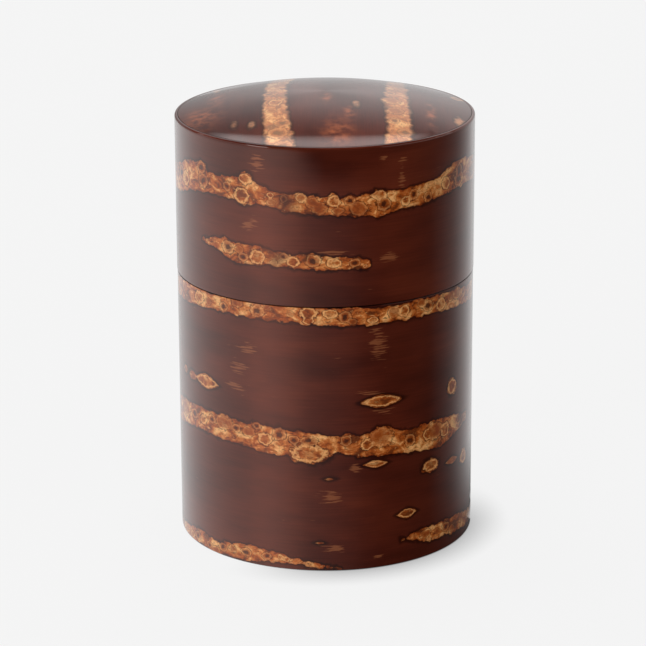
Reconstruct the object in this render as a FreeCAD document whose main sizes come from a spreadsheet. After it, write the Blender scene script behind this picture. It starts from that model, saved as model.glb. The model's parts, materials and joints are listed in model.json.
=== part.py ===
"""Tea caddy of polished cherry bark: a body with an inner collar, a telescoping lid with a
low domed top, and a drop-in inner lid with a turned knob.

The caddy is laid up from thin layers round one upright axis. Wood veneer tubes and turned
boards carry the shape, and sheets of bark are pasted on every face that is seen or touched.

Frame: millimetres, +Z up, origin at the middle of the foot ring's plane. The bark sheets
that are wrapped round a tube meet in a butt seam at the back, on the +Y side.
"""

import FreeCAD
import Part
import Sketcher

import os

# Driving dimensions: alias, value in millimetres, what it is
DIMENSIONS = [
    ("lid_radius", 40.0, "outside of the lid's bark"),
    ("lid_proud", 0.1, "how far the lid stands out past the body"),
    ("outer_bark", 0.8, "bark wrapped round the outside of body and lid"),
    ("wrap_seam", 0.2, "width of the butt seam where a wrapped sheet meets itself"),
    ("glue_line", 0.02, "film of glue between two pasted layers"),
    ("lid_core_wall", 1.2, "veneer tube of the lid"),
    ("lid_lining", 0.4, "bark inside the lid's tube"),
    ("collar_play", 0.15, "radial play of the lid on the collar"),
    ("collar_bark", 0.4, "bark round the collar"),
    ("sleeve_wall", 1.2, "veneer tube that stands up as the collar"),
    ("liner_wall", 0.9, "veneer liner whose top edge carries the inner lid"),
    ("liner_bark", 0.4, "bark inside the liner"),
    ("shoulder_height", 73.0, "foot to the shoulder where the lid sits"),
    ("foot_recess", 0.8, "foot ring to the underside's bark"),
    ("base_bark", 0.4, "bark under the base board"),
    ("base_board", 4.0, "base board"),
    ("floor_bark", 0.4, "bark on the floor of the tea space"),
    ("lid_side", 42.4, "shoulder to the lid's rim"),
    ("dome_rise", 5.6, "lid's rim to the crown of the dome"),
    ("top_bark", 0.6, "bark over the dome"),
    ("board_lip", 1.6, "edge of the top board, over the end of the lid's tube"),
    ("board_plug", 2.0, "depth of the top board inside the lid's tube"),
    ("ceiling_bark", 0.4, "bark under the top board"),
    ("seat_gap", 0.05, "lid above the shoulder, and inner lid above its seat"),
    ("plug_depth", 8.0, "collar's rim to the inner lid's seat"),
    ("plug_play", 0.15, "radial play of the inner lid in the collar"),
    ("plug_drop", 0.4, "inner lid's face below the collar's rim"),
    ("plug_board", 3.6, "inner lid's board"),
    ("plug_bark", 0.4, "bark on the inner lid"),
    ("skirt_wall", 1.4, "veneer ring under the inner lid's board"),
    ("tenon_radius", 3.0, "knob's tenon in the inner lid's board"),
    ("tenon_play", 0.02, "radial play of the tenon in its hole"),
    ("knob_foot_radius", 5.6, "foot of the knob"),
    ("knob_foot", 1.2, "height of the knob's foot"),
    ("knob_neck_radius", 3.6, "neck of the knob"),
    ("knob_neck", 3.0, "height of the knob's neck"),
    ("knob_head_radius", 8.0, "head of the knob"),
    ("knob_head", 4.8, "height of the knob's head at its edge"),
    ("knob_crown", 0.8, "rise of the knob's top to its middle"),
    ("knob_headroom", 3.34, "knob's top to the lid's ceiling"),
    ("knob_head_round", 2.1, "round of the head's two edges"),
    ("knob_cove", 0.9, "hollow where the neck meets foot and head"),
    ("knob_foot_round", 0.5, "round of the foot's edge"),
    ("rim_round", 0.55, "round of the lid's rim"),
    ("mouth_round", 0.25, "round of the two edges that meet at the parting line"),
    ("foot_round", 0.4, "round of the foot ring"),
    ("collar_round", 0.25, "round of the collar's rim"),
]
SHEET = "dims"
FULL_TURN = 360
DEGREES_PER_RADIAN = "180 / pi"
SAME_PLACE = 1e-4

# Sketcher's own numbers: the two axes, a curve's start, end and centre, and the origin
ACROSS_AXIS, UPRIGHT_AXIS = range(-1, -3, -1)
START, END, CENTRE = range(1, 4)
ORIGIN = (ACROSS_AXIS, START)


class Size:
    """A length worked out from the sheet's cells, held as the text of an expression."""

    def __init__(self, text):
        self.text = text

    def __add__(self, other):
        return Size(f"({self.text} + {other.text})")

    def __sub__(self, other):
        return Size(f"({self.text} - {other.text})")

    def value(self):
        """The length now, in millimetres."""
        return float(sheet.evalExpression(self.text))


def make_sheet():
    """The spreadsheet of driving dimensions, one row each: value and note."""
    made = doc.addObject("Spreadsheet::Sheet", SHEET)
    for row, (alias, millimetres, note) in enumerate(DIMENSIONS, start=1):
        made.set(f"A{row}", str(millimetres))
        made.setAlias(f"A{row}", alias)
        made.set(f"B{row}", note)
    doc.recompute()
    return made


def size(alias):
    """The driving dimension of that name."""
    return Size(f"{SHEET}.{alias}")


def point_of(corner):
    """A corner's place in the plane of the outline: radius across, height up."""
    radius, height = corner
    return FreeCAD.Vector(radius.value(), height.value(), 0)


def crown_arc(first, second):
    """The arc through two points whose centre is on the axis, as in a dome's section."""
    inner, outer = sorted((first, second), key=lambda point: point.x)
    drop = inner.y - outer.y
    radius = (outer.x * outer.x + drop * drop) / (2 * drop)
    circle = Part.Circle(FreeCAD.Vector(0, inner.y - radius, 0), FreeCAD.Vector(0, 0, 1), radius)
    return Part.ArcOfCircle(circle, circle.parameter(outer), circle.parameter(inner))


def fix_corner(sketch, vertex, corner):
    """Ties a vertex of the outline to its radius and height."""
    for kind, length, axis in zip(
        ("DistanceX", "DistanceY"), corner, (UPRIGHT_AXIS, ACROSS_AXIS)
    ):
        if length is ZERO:
            sketch.addConstraint(Sketcher.Constraint("PointOnObject", *vertex, axis))
            continue
        rule = Sketcher.Constraint(kind, *ORIGIN, *vertex, length.value())
        sketch.setExpression(f"Constraints[{sketch.addConstraint(rule)}]", length.text)


def turned(label, corners, domes=(), seam_at=None):
    """A body turned from a closed outline.

    corners is the outline, a list of (radius, height). domes holds the places in that list
    where an arc of a dome starts, and seam_at the radius where a wrapped sheet's seam is
    as wide as the sheet of dimensions says. With no seam the body goes all the way round.
    """
    body = doc.addObject("PartDesign::Body", label)
    sketch = body.newObject("Sketcher::SketchObject", f"{label}_outline")
    plane = next(f for f in body.Origin.OriginFeatures if f.Role == "YZ_Plane")
    sketch.AttachmentSupport = (plane, [""])
    sketch.MapMode = "FlatFace"
    points = [point_of(corner) for corner in corners]
    ends = []
    for place, point in enumerate(points):
        following = points[(place + 1) % len(points)]
        if place in domes:
            sketch.addGeometry(crown_arc(point, following), False)
            sketch.addConstraint(
                Sketcher.Constraint("PointOnObject", place, CENTRE, UPRIGHT_AXIS)
            )
            ends.append((START, END) if following.x < point.x else (END, START))
        else:
            sketch.addGeometry(Part.LineSegment(point, following), False)
            ends.append((START, END))
    for place, corner in enumerate(corners):
        following = (place + 1) % len(corners)
        meeting = (place, ends[place][1], following, ends[following][0])
        sketch.addConstraint(Sketcher.Constraint("Coincident", *meeting))
        fix_corner(sketch, (place, ends[place][0]), corner)
    turn = body.newObject("PartDesign::Revolution", f"{label}_turn")
    turn.Profile = sketch
    turn.ReferenceAxis = (sketch, ["V_Axis"])
    turn.Angle = FULL_TURN
    if seam_at is not None:
        seam = f"{SHEET}.wrap_seam / {seam_at.text} * {DEGREES_PER_RADIAN}"
        turn.setExpression("Angle", f"{FULL_TURN} - {seam}")
    doc.recompute()
    return body


def ring(label, inner, outer, bottom, top, seam_at=None):
    """A plain tube or ring."""
    outline = [(inner, bottom), (outer, bottom), (outer, top), (inner, top)]
    return turned(label, outline, seam_at=seam_at)


def disc(label, radius, bottom, top):
    """A plain disc."""
    return ring(label, ZERO, radius, bottom, top)


def edges_at(shape, places):
    """The names of a shape's edges that go round the axis at the given (radius, height) places."""
    wanted = [(radius.value(), height.value()) for radius, height in places]
    names = []
    for number, edge in enumerate(shape.Edges, start=1):
        if edge.Degenerated or not isinstance(edge.Curve, Part.Circle):
            continue
        for radius, height in wanted:
            off_radius = abs(edge.Curve.Radius - radius)
            off_height = abs(edge.Curve.Center.z - height)
            if max(off_radius, off_height) < SAME_PLACE:
                names.append(f"Edge{number}")
    return names


def round_edges(body, alias, *places):
    """Rounds the edges of a body at the given (radius, height) places by a named dimension."""
    before = body.Tip
    fillet = body.newObject("PartDesign::Fillet", f"{body.Label}_{alias}")
    fillet.Base = (before, edges_at(before.Shape, places))
    fillet.setExpression("Radius", size(alias).text)
    body.Tip = fillet
    doc.recompute()


def make_body():
    """The body: foot, base, double wall and the collar that the lid slides on."""
    bark = ring("body_outer_bark", body_bark_inside, body_radius, ZERO, shoulder, body_radius)
    round_edges(bark, "foot_round", (body_radius, ZERO))
    round_edges(bark, "mouth_round", (body_radius, shoulder))
    ring("body_core", body_core_inside, body_core_outside, ZERO, shoulder)
    disc("base_bark", base_radius, size("foot_recess"), base_bark_top)
    disc("base_board", base_radius, base_board_under, base_board_top)
    disc("floor_bark", tea_radius - glue, sleeve_foot, floor_top)
    sleeve = ring("collar_sleeve", sleeve_inside, sleeve_outside, sleeve_foot, collar_rim)
    round_edges(sleeve, "collar_round", (sleeve_inside, collar_rim))
    wrap_foot = shoulder + glue
    wrap = ring("collar_bark", collar_bark_inside, collar_radius, wrap_foot, collar_rim, collar_radius)
    round_edges(wrap, "collar_round", (collar_radius, collar_rim))
    ring("liner_core", liner_inside, liner_outside, sleeve_foot, plug_seat)
    ring("liner_bark", tea_radius, liner_bark_outside, sleeve_foot, plug_seat, tea_radius)


def make_lid():
    """The lid: a lined tube with a domed board set into its end and bark over all."""
    bark = ring("lid_outer_bark", lid_bark_inside, lid_radius, lid_foot, lid_rim, lid_radius)
    round_edges(bark, "rim_round", (lid_radius, lid_rim))
    round_edges(bark, "mouth_round", (lid_radius, lid_foot))
    ring("lid_core", lid_core_inside, lid_core_outside, lid_foot, lip_under - glue)
    ring("lid_lining_bark", lid_bore, lid_lining_outside, lid_foot, board_under - glue, lid_bore)
    disc("lid_ceiling_bark", lid_bore - glue, ceiling, board_under - glue)
    board_outline = [
        (ZERO, board_under),
        (lid_core_inside - glue, board_under),
        (lid_core_inside - glue, lip_under),
        (lid_core_outside, lip_under),
        (lid_core_outside, board_edge),
        (ZERO, board_edge + dome_rise),
    ]
    turned("lid_top_board", board_outline, domes=[4])
    top_outline = [
        (ZERO, lid_rim - top_bark + dome_rise),
        (lid_core_outside, lid_rim - top_bark),
        (lid_core_outside, lid_rim),
        (ZERO, lid_rim + dome_rise),
    ]
    turned("lid_top_bark", top_outline, domes=[0, 2])


def make_inner_lid():
    """The inner lid: a bark-faced board with a skirt, dropped into the collar by its knob."""
    ring("inner_lid_face_bark", tenon_hole, plug_board_radius, plug_face_under, plug_face)
    ring("inner_lid_board", tenon_hole, plug_board_radius, plug_board_under, plug_board_top)
    ring("inner_lid_skirt", skirt_inside, plug_board_radius, plug_foot, plug_board_under - glue)
    disc("inner_lid_under_bark", skirt_inside - glue, plug_bark_under, plug_board_under - glue)
    edge = ring("inner_lid_edge_bark", plug_bark_inside, plug_radius, plug_foot, plug_face, plug_radius)
    round_edges(edge, "collar_round", (plug_radius, plug_face))
    foot_radius = size("knob_foot_radius")
    neck_radius = size("knob_neck_radius")
    head_radius = size("knob_head_radius")
    knob_outline = [
        (ZERO, plug_board_under),
        (tenon_radius, plug_board_under),
        (tenon_radius, knob_seat),
        (foot_radius, knob_seat),
        (foot_radius, knob_foot_top),
        (neck_radius, knob_foot_top),
        (neck_radius, knob_head_under),
        (head_radius, knob_head_under),
        (head_radius, knob_head_edge),
        (ZERO, knob_head_edge + size("knob_crown")),
    ]
    knob = turned("inner_lid_knob", knob_outline, domes=[8])
    head_edges = [(head_radius, knob_head_under), (head_radius, knob_head_edge)]
    round_edges(knob, "knob_head_round", *head_edges)
    round_edges(knob, "knob_cove", (neck_radius, knob_foot_top), (neck_radius, knob_head_under))
    round_edges(knob, "knob_foot_round", (foot_radius, knob_foot_top))


def write_parts():
    """Checks every object and solid, then writes one STEP file for each sub-part."""
    failed = [o.Name for o in doc.Objects if {"Invalid", "Error"} & set(o.State)]
    if failed:
        raise RuntimeError(f"these objects failed: {failed}")
    bodies = [o for o in doc.Objects if o.TypeId == "PartDesign::Body"]
    for body in bodies:
        if body.Shape.isNull() or not body.Shape.isValid():
            raise RuntimeError(f"{body.Label} has no valid shape")
    os.makedirs("parts", exist_ok=True)
    for body in bodies:
        body.Shape.exportStep(f"parts/{body.Label}.step")
        print(f"{body.Label}: {body.Shape.Volume:.1f} mm3")


doc = FreeCAD.newDocument("tea_caddy")
sheet = make_sheet()
ZERO = Size("0")
glue = size("glue_line")

# Radii of the lid, from the outside in
lid_radius = size("lid_radius")
lid_bark_inside = lid_radius - size("outer_bark")
lid_core_outside = lid_bark_inside - glue
lid_core_inside = lid_core_outside - size("lid_core_wall")
lid_lining_outside = lid_core_inside - glue
lid_bore = lid_lining_outside - size("lid_lining")

# Radii of the body, from the collar in to the tea space and out to its bark
collar_radius = lid_bore - size("collar_play")
collar_bark_inside = collar_radius - size("collar_bark")
sleeve_outside = collar_bark_inside - glue
sleeve_inside = sleeve_outside - size("sleeve_wall")
liner_outside = sleeve_inside - glue
liner_inside = liner_outside - size("liner_wall")
liner_bark_outside = liner_inside - glue
tea_radius = liner_bark_outside - size("liner_bark")
body_radius = lid_radius - size("lid_proud")
body_bark_inside = body_radius - size("outer_bark")
body_core_outside = body_bark_inside - glue
body_core_inside = sleeve_outside + glue
base_radius = body_core_inside - glue

# Heights of the body, from the foot up to its shoulder
base_bark_top = size("foot_recess") + size("base_bark")
base_board_under = base_bark_top + glue
base_board_top = base_board_under + size("base_board")
sleeve_foot = base_board_top + glue
floor_top = sleeve_foot + size("floor_bark")
shoulder = size("shoulder_height")

# Heights of the lid, from its rim down to its ceiling
lid_foot = shoulder + size("seat_gap")
lid_rim = shoulder + size("lid_side")
dome_rise = size("dome_rise")
top_bark = size("top_bark")
board_edge = lid_rim - top_bark - glue
lip_under = board_edge - size("board_lip")
board_under = lip_under - size("board_plug")
ceiling = board_under - glue - size("ceiling_bark")

# Heights of the knob, from the ceiling that it clears down to the inner lid's face
knob_head_edge = ceiling - size("knob_headroom") - size("knob_crown")
knob_head_under = knob_head_edge - size("knob_head")
knob_foot_top = knob_head_under - size("knob_neck")
knob_seat = knob_foot_top - size("knob_foot")
plug_face = knob_seat - glue

# Heights of the collar and of the inner lid inside it
collar_rim = plug_face + size("plug_drop")
plug_seat = collar_rim - size("plug_depth")
plug_foot = plug_seat + size("seat_gap")
plug_face_under = plug_face - size("plug_bark")
plug_board_top = plug_face_under - glue
plug_board_under = plug_board_top - size("plug_board")
plug_bark_under = plug_board_under - glue - size("plug_bark")

# Radii of the inner lid, from its edge in
plug_radius = sleeve_inside - size("plug_play")
plug_bark_inside = plug_radius - size("plug_bark")
plug_board_radius = plug_bark_inside - glue
skirt_inside = plug_board_radius - size("skirt_wall")
tenon_radius = size("tenon_radius")
tenon_hole = tenon_radius + size("tenon_play")

make_body()
make_lid()
make_inner_lid()
write_parts()
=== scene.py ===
"""Looks of the cherry bark tea caddy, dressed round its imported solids.

The outside is one polished bark in three sheets: round the body, round the lid and over the
lid's dome. Their lenticels, the golden corky bands and eyes of cherry bark, are placed by their
pixels in the 646 x 646 photograph where it shows them, and by angle and height round the back.
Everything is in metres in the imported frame, and the figure of the bark is worked out in
millimetres on the flat sheet.
"""

import json
import logging
import math
from dataclasses import dataclass, field
from enum import Enum
from typing import Iterable, Sequence

import bpy
import numpy as np
from mathutils import Matrix, Vector

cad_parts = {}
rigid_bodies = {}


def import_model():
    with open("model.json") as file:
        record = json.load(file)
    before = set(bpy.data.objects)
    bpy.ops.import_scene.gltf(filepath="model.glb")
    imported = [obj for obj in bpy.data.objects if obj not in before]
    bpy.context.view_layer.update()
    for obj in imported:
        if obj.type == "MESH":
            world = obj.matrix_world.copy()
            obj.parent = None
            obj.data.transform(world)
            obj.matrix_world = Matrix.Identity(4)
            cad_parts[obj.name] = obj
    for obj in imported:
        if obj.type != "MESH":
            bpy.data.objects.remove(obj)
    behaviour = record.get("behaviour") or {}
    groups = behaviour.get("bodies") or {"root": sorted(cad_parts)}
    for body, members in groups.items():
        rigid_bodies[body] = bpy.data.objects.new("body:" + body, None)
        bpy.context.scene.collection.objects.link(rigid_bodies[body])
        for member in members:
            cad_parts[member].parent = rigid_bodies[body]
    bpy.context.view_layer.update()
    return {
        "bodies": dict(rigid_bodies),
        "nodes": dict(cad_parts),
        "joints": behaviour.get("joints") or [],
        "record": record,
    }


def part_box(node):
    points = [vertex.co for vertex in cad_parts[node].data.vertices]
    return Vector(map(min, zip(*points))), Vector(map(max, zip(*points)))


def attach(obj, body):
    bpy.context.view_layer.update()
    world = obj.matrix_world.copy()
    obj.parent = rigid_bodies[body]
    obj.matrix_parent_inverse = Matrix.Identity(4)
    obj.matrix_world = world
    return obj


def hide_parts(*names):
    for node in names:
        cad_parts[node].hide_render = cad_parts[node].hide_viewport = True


log = logging.getLogger("tea_caddy")

MM = 0.001
PIXELS_PER_MM = 3.6
DOME_FORESHORTENING = 0.36
SHARP_ANGLE = math.radians(40)

Colour = tuple[float, float, float]
Glows = tuple[tuple[float, float], ...]
Knot = tuple[float, float, float]
PhotoPoint = tuple[float, float]
Span = tuple[float, float]
Socket = bpy.types.NodeSocket
Term = bpy.types.NodeSocket | float


class Slot(Enum):
    """The record's material slots."""

    POLISHED_BARK = "polished_bark"
    LINING_BARK = "lining_bark"
    VENEER = "veneer"
    BOARD_WOOD = "board_wood"
    KNOB_WOOD = "knob_wood"


class CellKind(Enum):
    """What one corky cell of a lenticel shows: its pit and its pale ring, each from 0 to 1."""

    PIT = (1.0, 0.35)
    RING = (0.15, 1.0)
    EYE = (0.45, 1.0)
    PLAIN = (0.1, 0.15)

    @property
    def pit(self) -> float:
        """How dark the cell's middle is."""
        return self.value[0]

    @property
    def ring(self) -> float:
        """How pale the ring inside its edge is."""
        return self.value[1]


class Outline(Enum):
    """The outline of a cell on the flat sheet."""

    ROUND = "round"
    LENS = "lens"


# Meshes and their values


def linked(name: str, data: bpy.types.ID) -> bpy.types.Object:
    """Makes an object and links it to the scene.

    Args:
        name: The object's name.
        data: Its mesh, lamp or camera.

    Returns:
        The object.
    """
    made = bpy.data.objects.new(name, data)
    bpy.context.scene.collection.objects.link(made)
    return made


def plain_mesh(
    name: str, vertices: Sequence[Sequence[float]], faces: Sequence[Sequence[int]]
) -> bpy.types.Mesh:
    """Makes a mesh.

    Args:
        name: The mesh's name.
        vertices: The places of its vertices, in metres.
        faces: The vertices round each face.

    Returns:
        The mesh.
    """
    mesh = bpy.data.meshes.new(name)
    mesh.from_pydata(vertices, [], faces)
    return mesh


def vertex_places(mesh: bpy.types.Mesh) -> np.ndarray:
    """The places of a mesh's vertices.

    Args:
        mesh: The mesh.

    Returns:
        One row for each vertex, in metres.
    """
    points = np.empty(len(mesh.vertices) * 3)
    mesh.vertices.foreach_get("co", points)
    return points.reshape(-1, 3)


def write_values(mesh: bpy.types.Mesh, name: str, values: Sequence[float]) -> None:
    """Writes one number for each vertex of a mesh, as a named attribute."""
    attribute = mesh.attributes.new(name, "FLOAT", "POINT")
    attribute.data.foreach_set("value", np.array(values, dtype=np.float32))


# The camera


@dataclass(frozen=True)
class PhotoCamera:
    """The photograph's camera, as it stands to the caddy, in metres and degrees."""

    aim_height: float = 0.060
    distance: float = 0.8235
    elevation: float = 17.27
    pan: float = -0.049
    tilt: float = -0.244
    roll: float = -0.255
    focal_pixels: float = 3032.3
    picture_pixels: int = 646
    sensor_mm: float = 36.0
    clip_start: float = 0.01
    clip_end: float = 50.0

    @property
    def place(self) -> Vector:
        """Where the camera stands.

        Returns:
            Its place, in metres.
        """
        rise = math.radians(self.elevation)
        away = Vector((0, -math.cos(rise), math.sin(rise))) * self.distance
        return Vector((0, 0, self.aim_height)) + away

    @property
    def axes(self) -> tuple[Vector, Vector, Vector]:
        """The camera's own axes.

        Returns:
            The picture's right and up, and the direction of view.
        """
        ahead = (Vector((0, 0, self.aim_height)) - self.place).normalized()
        right = ahead.cross(Vector((0, 0, 1))).normalized()
        up = right.cross(ahead)
        turned = right * math.tan(math.radians(self.pan)) + up * math.tan(math.radians(self.tilt))
        ahead = (ahead + turned).normalized()
        right = ahead.cross(Vector((0, 0, 1))).normalized()
        up = right.cross(ahead)
        spin = math.radians(self.roll)
        rolled_right = right * math.cos(spin) + up * math.sin(spin)
        rolled_up = up * math.cos(spin) - right * math.sin(spin)
        return rolled_right, rolled_up, ahead

    def ray(self, pixel: PhotoPoint) -> Vector:
        """The direction in which the camera sees a pixel of the photograph.

        Args:
            pixel: Its x and y, from the top left corner.

        Returns:
            A unit vector from the camera.
        """
        right, up, ahead = self.axes
        middle = self.picture_pixels / 2
        across = (pixel[0] - middle) / self.focal_pixels
        down = (pixel[1] - middle) / self.focal_pixels
        return (ahead + right * across - up * down).normalized()

    def make(self) -> None:
        """Makes the scene's camera."""
        right, up, ahead = self.axes
        data = bpy.data.cameras.new("photo_camera")
        data.sensor_width = self.sensor_mm
        data.lens = self.focal_pixels / self.picture_pixels * self.sensor_mm
        data.clip_start = self.clip_start
        data.clip_end = self.clip_end
        camera = linked("photo_camera", data)
        turn = Matrix((right, up, -ahead)).transposed().to_4x4()
        camera.matrix_world = Matrix.Translation(self.place) @ turn
        bpy.context.scene.camera = camera


# Flat sheets of bark


@dataclass(frozen=True)
class TubeSheet:
    """A sheet wrapped round the caddy. Flat, its run is the way round from the front, to the right."""

    radius: float
    camera: PhotoCamera
    cut_edges_mm: tuple[float, ...]

    def flat(self, points: np.ndarray) -> tuple[np.ndarray, np.ndarray]:
        """Lays points of the wrapped sheet flat.

        Args:
            points: Their places, one row each, in metres.

        Returns:
            The run and the rise of each on the flat sheet, in millimetres.
        """
        angle = np.arctan2(points[:, 0], -points[:, 1])
        return angle * self.radius / MM, points[:, 2] / MM

    def seen(self, pixel: PhotoPoint) -> tuple[float, float]:
        """Where the photograph's pixel lies on the flat sheet.

        Args:
            pixel: Its x and y. One just off the caddy's edge counts as on it.

        Returns:
            Run and rise in millimetres.
        """
        start = self.camera.place
        way = self.camera.ray(pixel)
        flat_way = Vector((way.x, way.y))
        flat_start = Vector((start.x, start.y))
        nearest = -flat_start.dot(flat_way) / flat_way.length_squared
        miss = (flat_start + flat_way * nearest).length
        reach = math.sqrt(max(0.0, self.radius**2 - miss**2)) / flat_way.length
        hit = start + way * (nearest - reach)
        return math.atan2(hit.x, -hit.y) * self.radius / MM, hit.z / MM

    def round_back(self, degrees: float, height_mm: float) -> tuple[float, float]:
        """The flat place of a point at an angle from the front and a height."""
        return math.radians(degrees) * self.radius / MM, height_mm

    def spread(self, wide: float, high: float) -> tuple[float, float]:
        """A mark's half run and half rise in millimetres, from its half width and height in pixels."""
        return wide / PIXELS_PER_MM, high / PIXELS_PER_MM

    def margin(self, run: np.ndarray, rise: np.ndarray) -> np.ndarray:
        """How far points lie from the sheet's nearest cut edge, in millimetres."""
        return np.min([np.abs(rise - edge) for edge in self.cut_edges_mm], axis=0)


@dataclass(frozen=True)
class DomeSheet:
    """The sheet over the lid's dome. Flat, its run is front to back and its rise left to right."""

    rim_radius: float
    rim_height: float
    rise: float
    camera: PhotoCamera

    @property
    def ball_radius(self) -> float:
        """The radius of the ball that the dome is cut from."""
        return (self.rim_radius**2 + self.rise**2) / (2 * self.rise)

    def flat(self, points: np.ndarray) -> tuple[np.ndarray, np.ndarray]:
        """Lays points of the dome flat.

        Args:
            points: Their places, one row each, in metres.

        Returns:
            The run and the rise of each on the flat sheet, in millimetres.
        """
        return points[:, 1] / MM, points[:, 0] / MM

    def seen(self, pixel: PhotoPoint) -> tuple[float, float]:
        """Where the photograph's pixel lies on the flat sheet.

        Args:
            pixel: Its x and y. One just off the dome's edge counts as on it.

        Returns:
            Run and rise in millimetres.
        """
        start = self.camera.place
        way = self.camera.ray(pixel)
        middle = Vector((0, 0, self.rim_height + self.rise - self.ball_radius))
        nearest = (middle - start).dot(way)
        miss = (start + way * nearest - middle).length
        reach = math.sqrt(max(0.0, self.ball_radius**2 - miss**2))
        hit = start + way * (nearest - reach)
        return hit.y / MM, hit.x / MM

    def mirrored(self, across: float, front: float, distance: float) -> Vector:
        """What a point of the dome mirrors to the camera.

        Args:
            across: How far the point lies to the right of the axis.
            front: How far it lies in front of the axis.
            distance: How far from it the mirrored place lies.

        Returns:
            The mirrored place.
        """
        up = math.sqrt(self.ball_radius**2 - across**2 - front**2)
        normal = Vector((across, -front, up)) / self.ball_radius
        point = Vector((across, -front, self.rim_height + self.rise - self.ball_radius + up))
        back = (self.camera.place - point).normalized()
        return point + (2 * normal.dot(back) * normal - back) * distance

    def spread(self, wide: float, high: float) -> tuple[float, float]:
        """A mark's half run and half rise in millimetres, from its half width and height in pixels."""
        return high / PIXELS_PER_MM / DOME_FORESHORTENING, wide / PIXELS_PER_MM

    def margin(self, run: np.ndarray, rise: np.ndarray) -> np.ndarray:
        """How far points lie from the dome's edge, in millimetres."""
        return self.rim_radius / MM - np.hypot(run, rise)


Sheet = TubeSheet | DomeSheet


# The figure of the bark


@dataclass(frozen=True)
class Cell:
    """A corky cell or a lenticel that stands alone, on the flat sheet, in millimetres."""

    run: float
    rise: float
    half_run: float
    half_rise: float
    kind: CellKind
    outline: Outline = Outline.ROUND

    LENS_POINT = 1.5

    def nearness(self, run: np.ndarray, rise: np.ndarray) -> np.ndarray:
        """How far points lie from the cell's middle, as a share of the way to its edge.

        Args:
            run: The points' run.
            rise: The points' rise.

        Returns:
            0 in the middle, 1 on the edge, more outside.
        """
        along = np.abs(run - self.run) / self.half_run
        across = np.abs(rise - self.rise) / self.half_rise
        if self.outline is Outline.LENS:
            return across + along**self.LENS_POINT
        return np.hypot(along, across)


@dataclass(frozen=True)
class Band:
    """A lenticel band on the flat sheet: knots of run, lower edge and upper edge, in millimetres."""

    knots: tuple[Knot, ...]

    def edges(self, run: np.ndarray) -> tuple[np.ndarray, np.ndarray]:
        """The band's two edges, on smooth curves through its knots.

        Args:
            run: Where along the sheet.

        Returns:
            The lower and the upper edge's rise.
        """
        at = np.array([knot[0] for knot in self.knots])
        low = np.array([knot[1] for knot in self.knots])
        high = np.array([knot[2] for knot in self.knots])
        return smooth_curve(run, at, low), smooth_curve(run, at, high)

    def depth(self, run: np.ndarray, rise: np.ndarray) -> np.ndarray:
        """How deep points lie inside the band.

        Args:
            run: The points' run.
            rise: The points' rise.

        Returns:
            Millimetres from the nearest edge, negative outside.
        """
        low, high = self.edges(run)
        inside = np.minimum(rise - low, high - rise)
        ends = np.minimum(run - self.knots[0][0], self.knots[-1][0] - run)
        return np.minimum(inside, ends)


def smooth_curve(at: np.ndarray, knots: np.ndarray, values: np.ndarray) -> np.ndarray:
    """Reads a cubic curve through knots, level past its ends.

    Args:
        at: Where to read it.
        knots: The knots' places, in rising order.
        values: Its value at each knot.

    Returns:
        The curve's value at each place.
    """
    place = np.clip(at, knots[0], knots[-1])
    span = np.clip(np.searchsorted(knots, place, side="right") - 1, 0, len(knots) - 2)
    slopes = np.gradient(values, knots)
    width = knots[span + 1] - knots[span]
    share = (place - knots[span]) / width
    square, cube = share**2, share**3
    return (
        (2 * cube - 3 * square + 1) * values[span]
        + (cube - 2 * square + share) * width * slopes[span]
        + (3 * square - 2 * cube) * values[span + 1]
        + (cube - square) * width * slopes[span + 1]
    )


@dataclass(frozen=True)
class FleckPatch:
    """A patch of short pale dashes on the flat sheet, in millimetres."""

    run: float
    rise: float
    half_run: float
    half_rise: float


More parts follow.
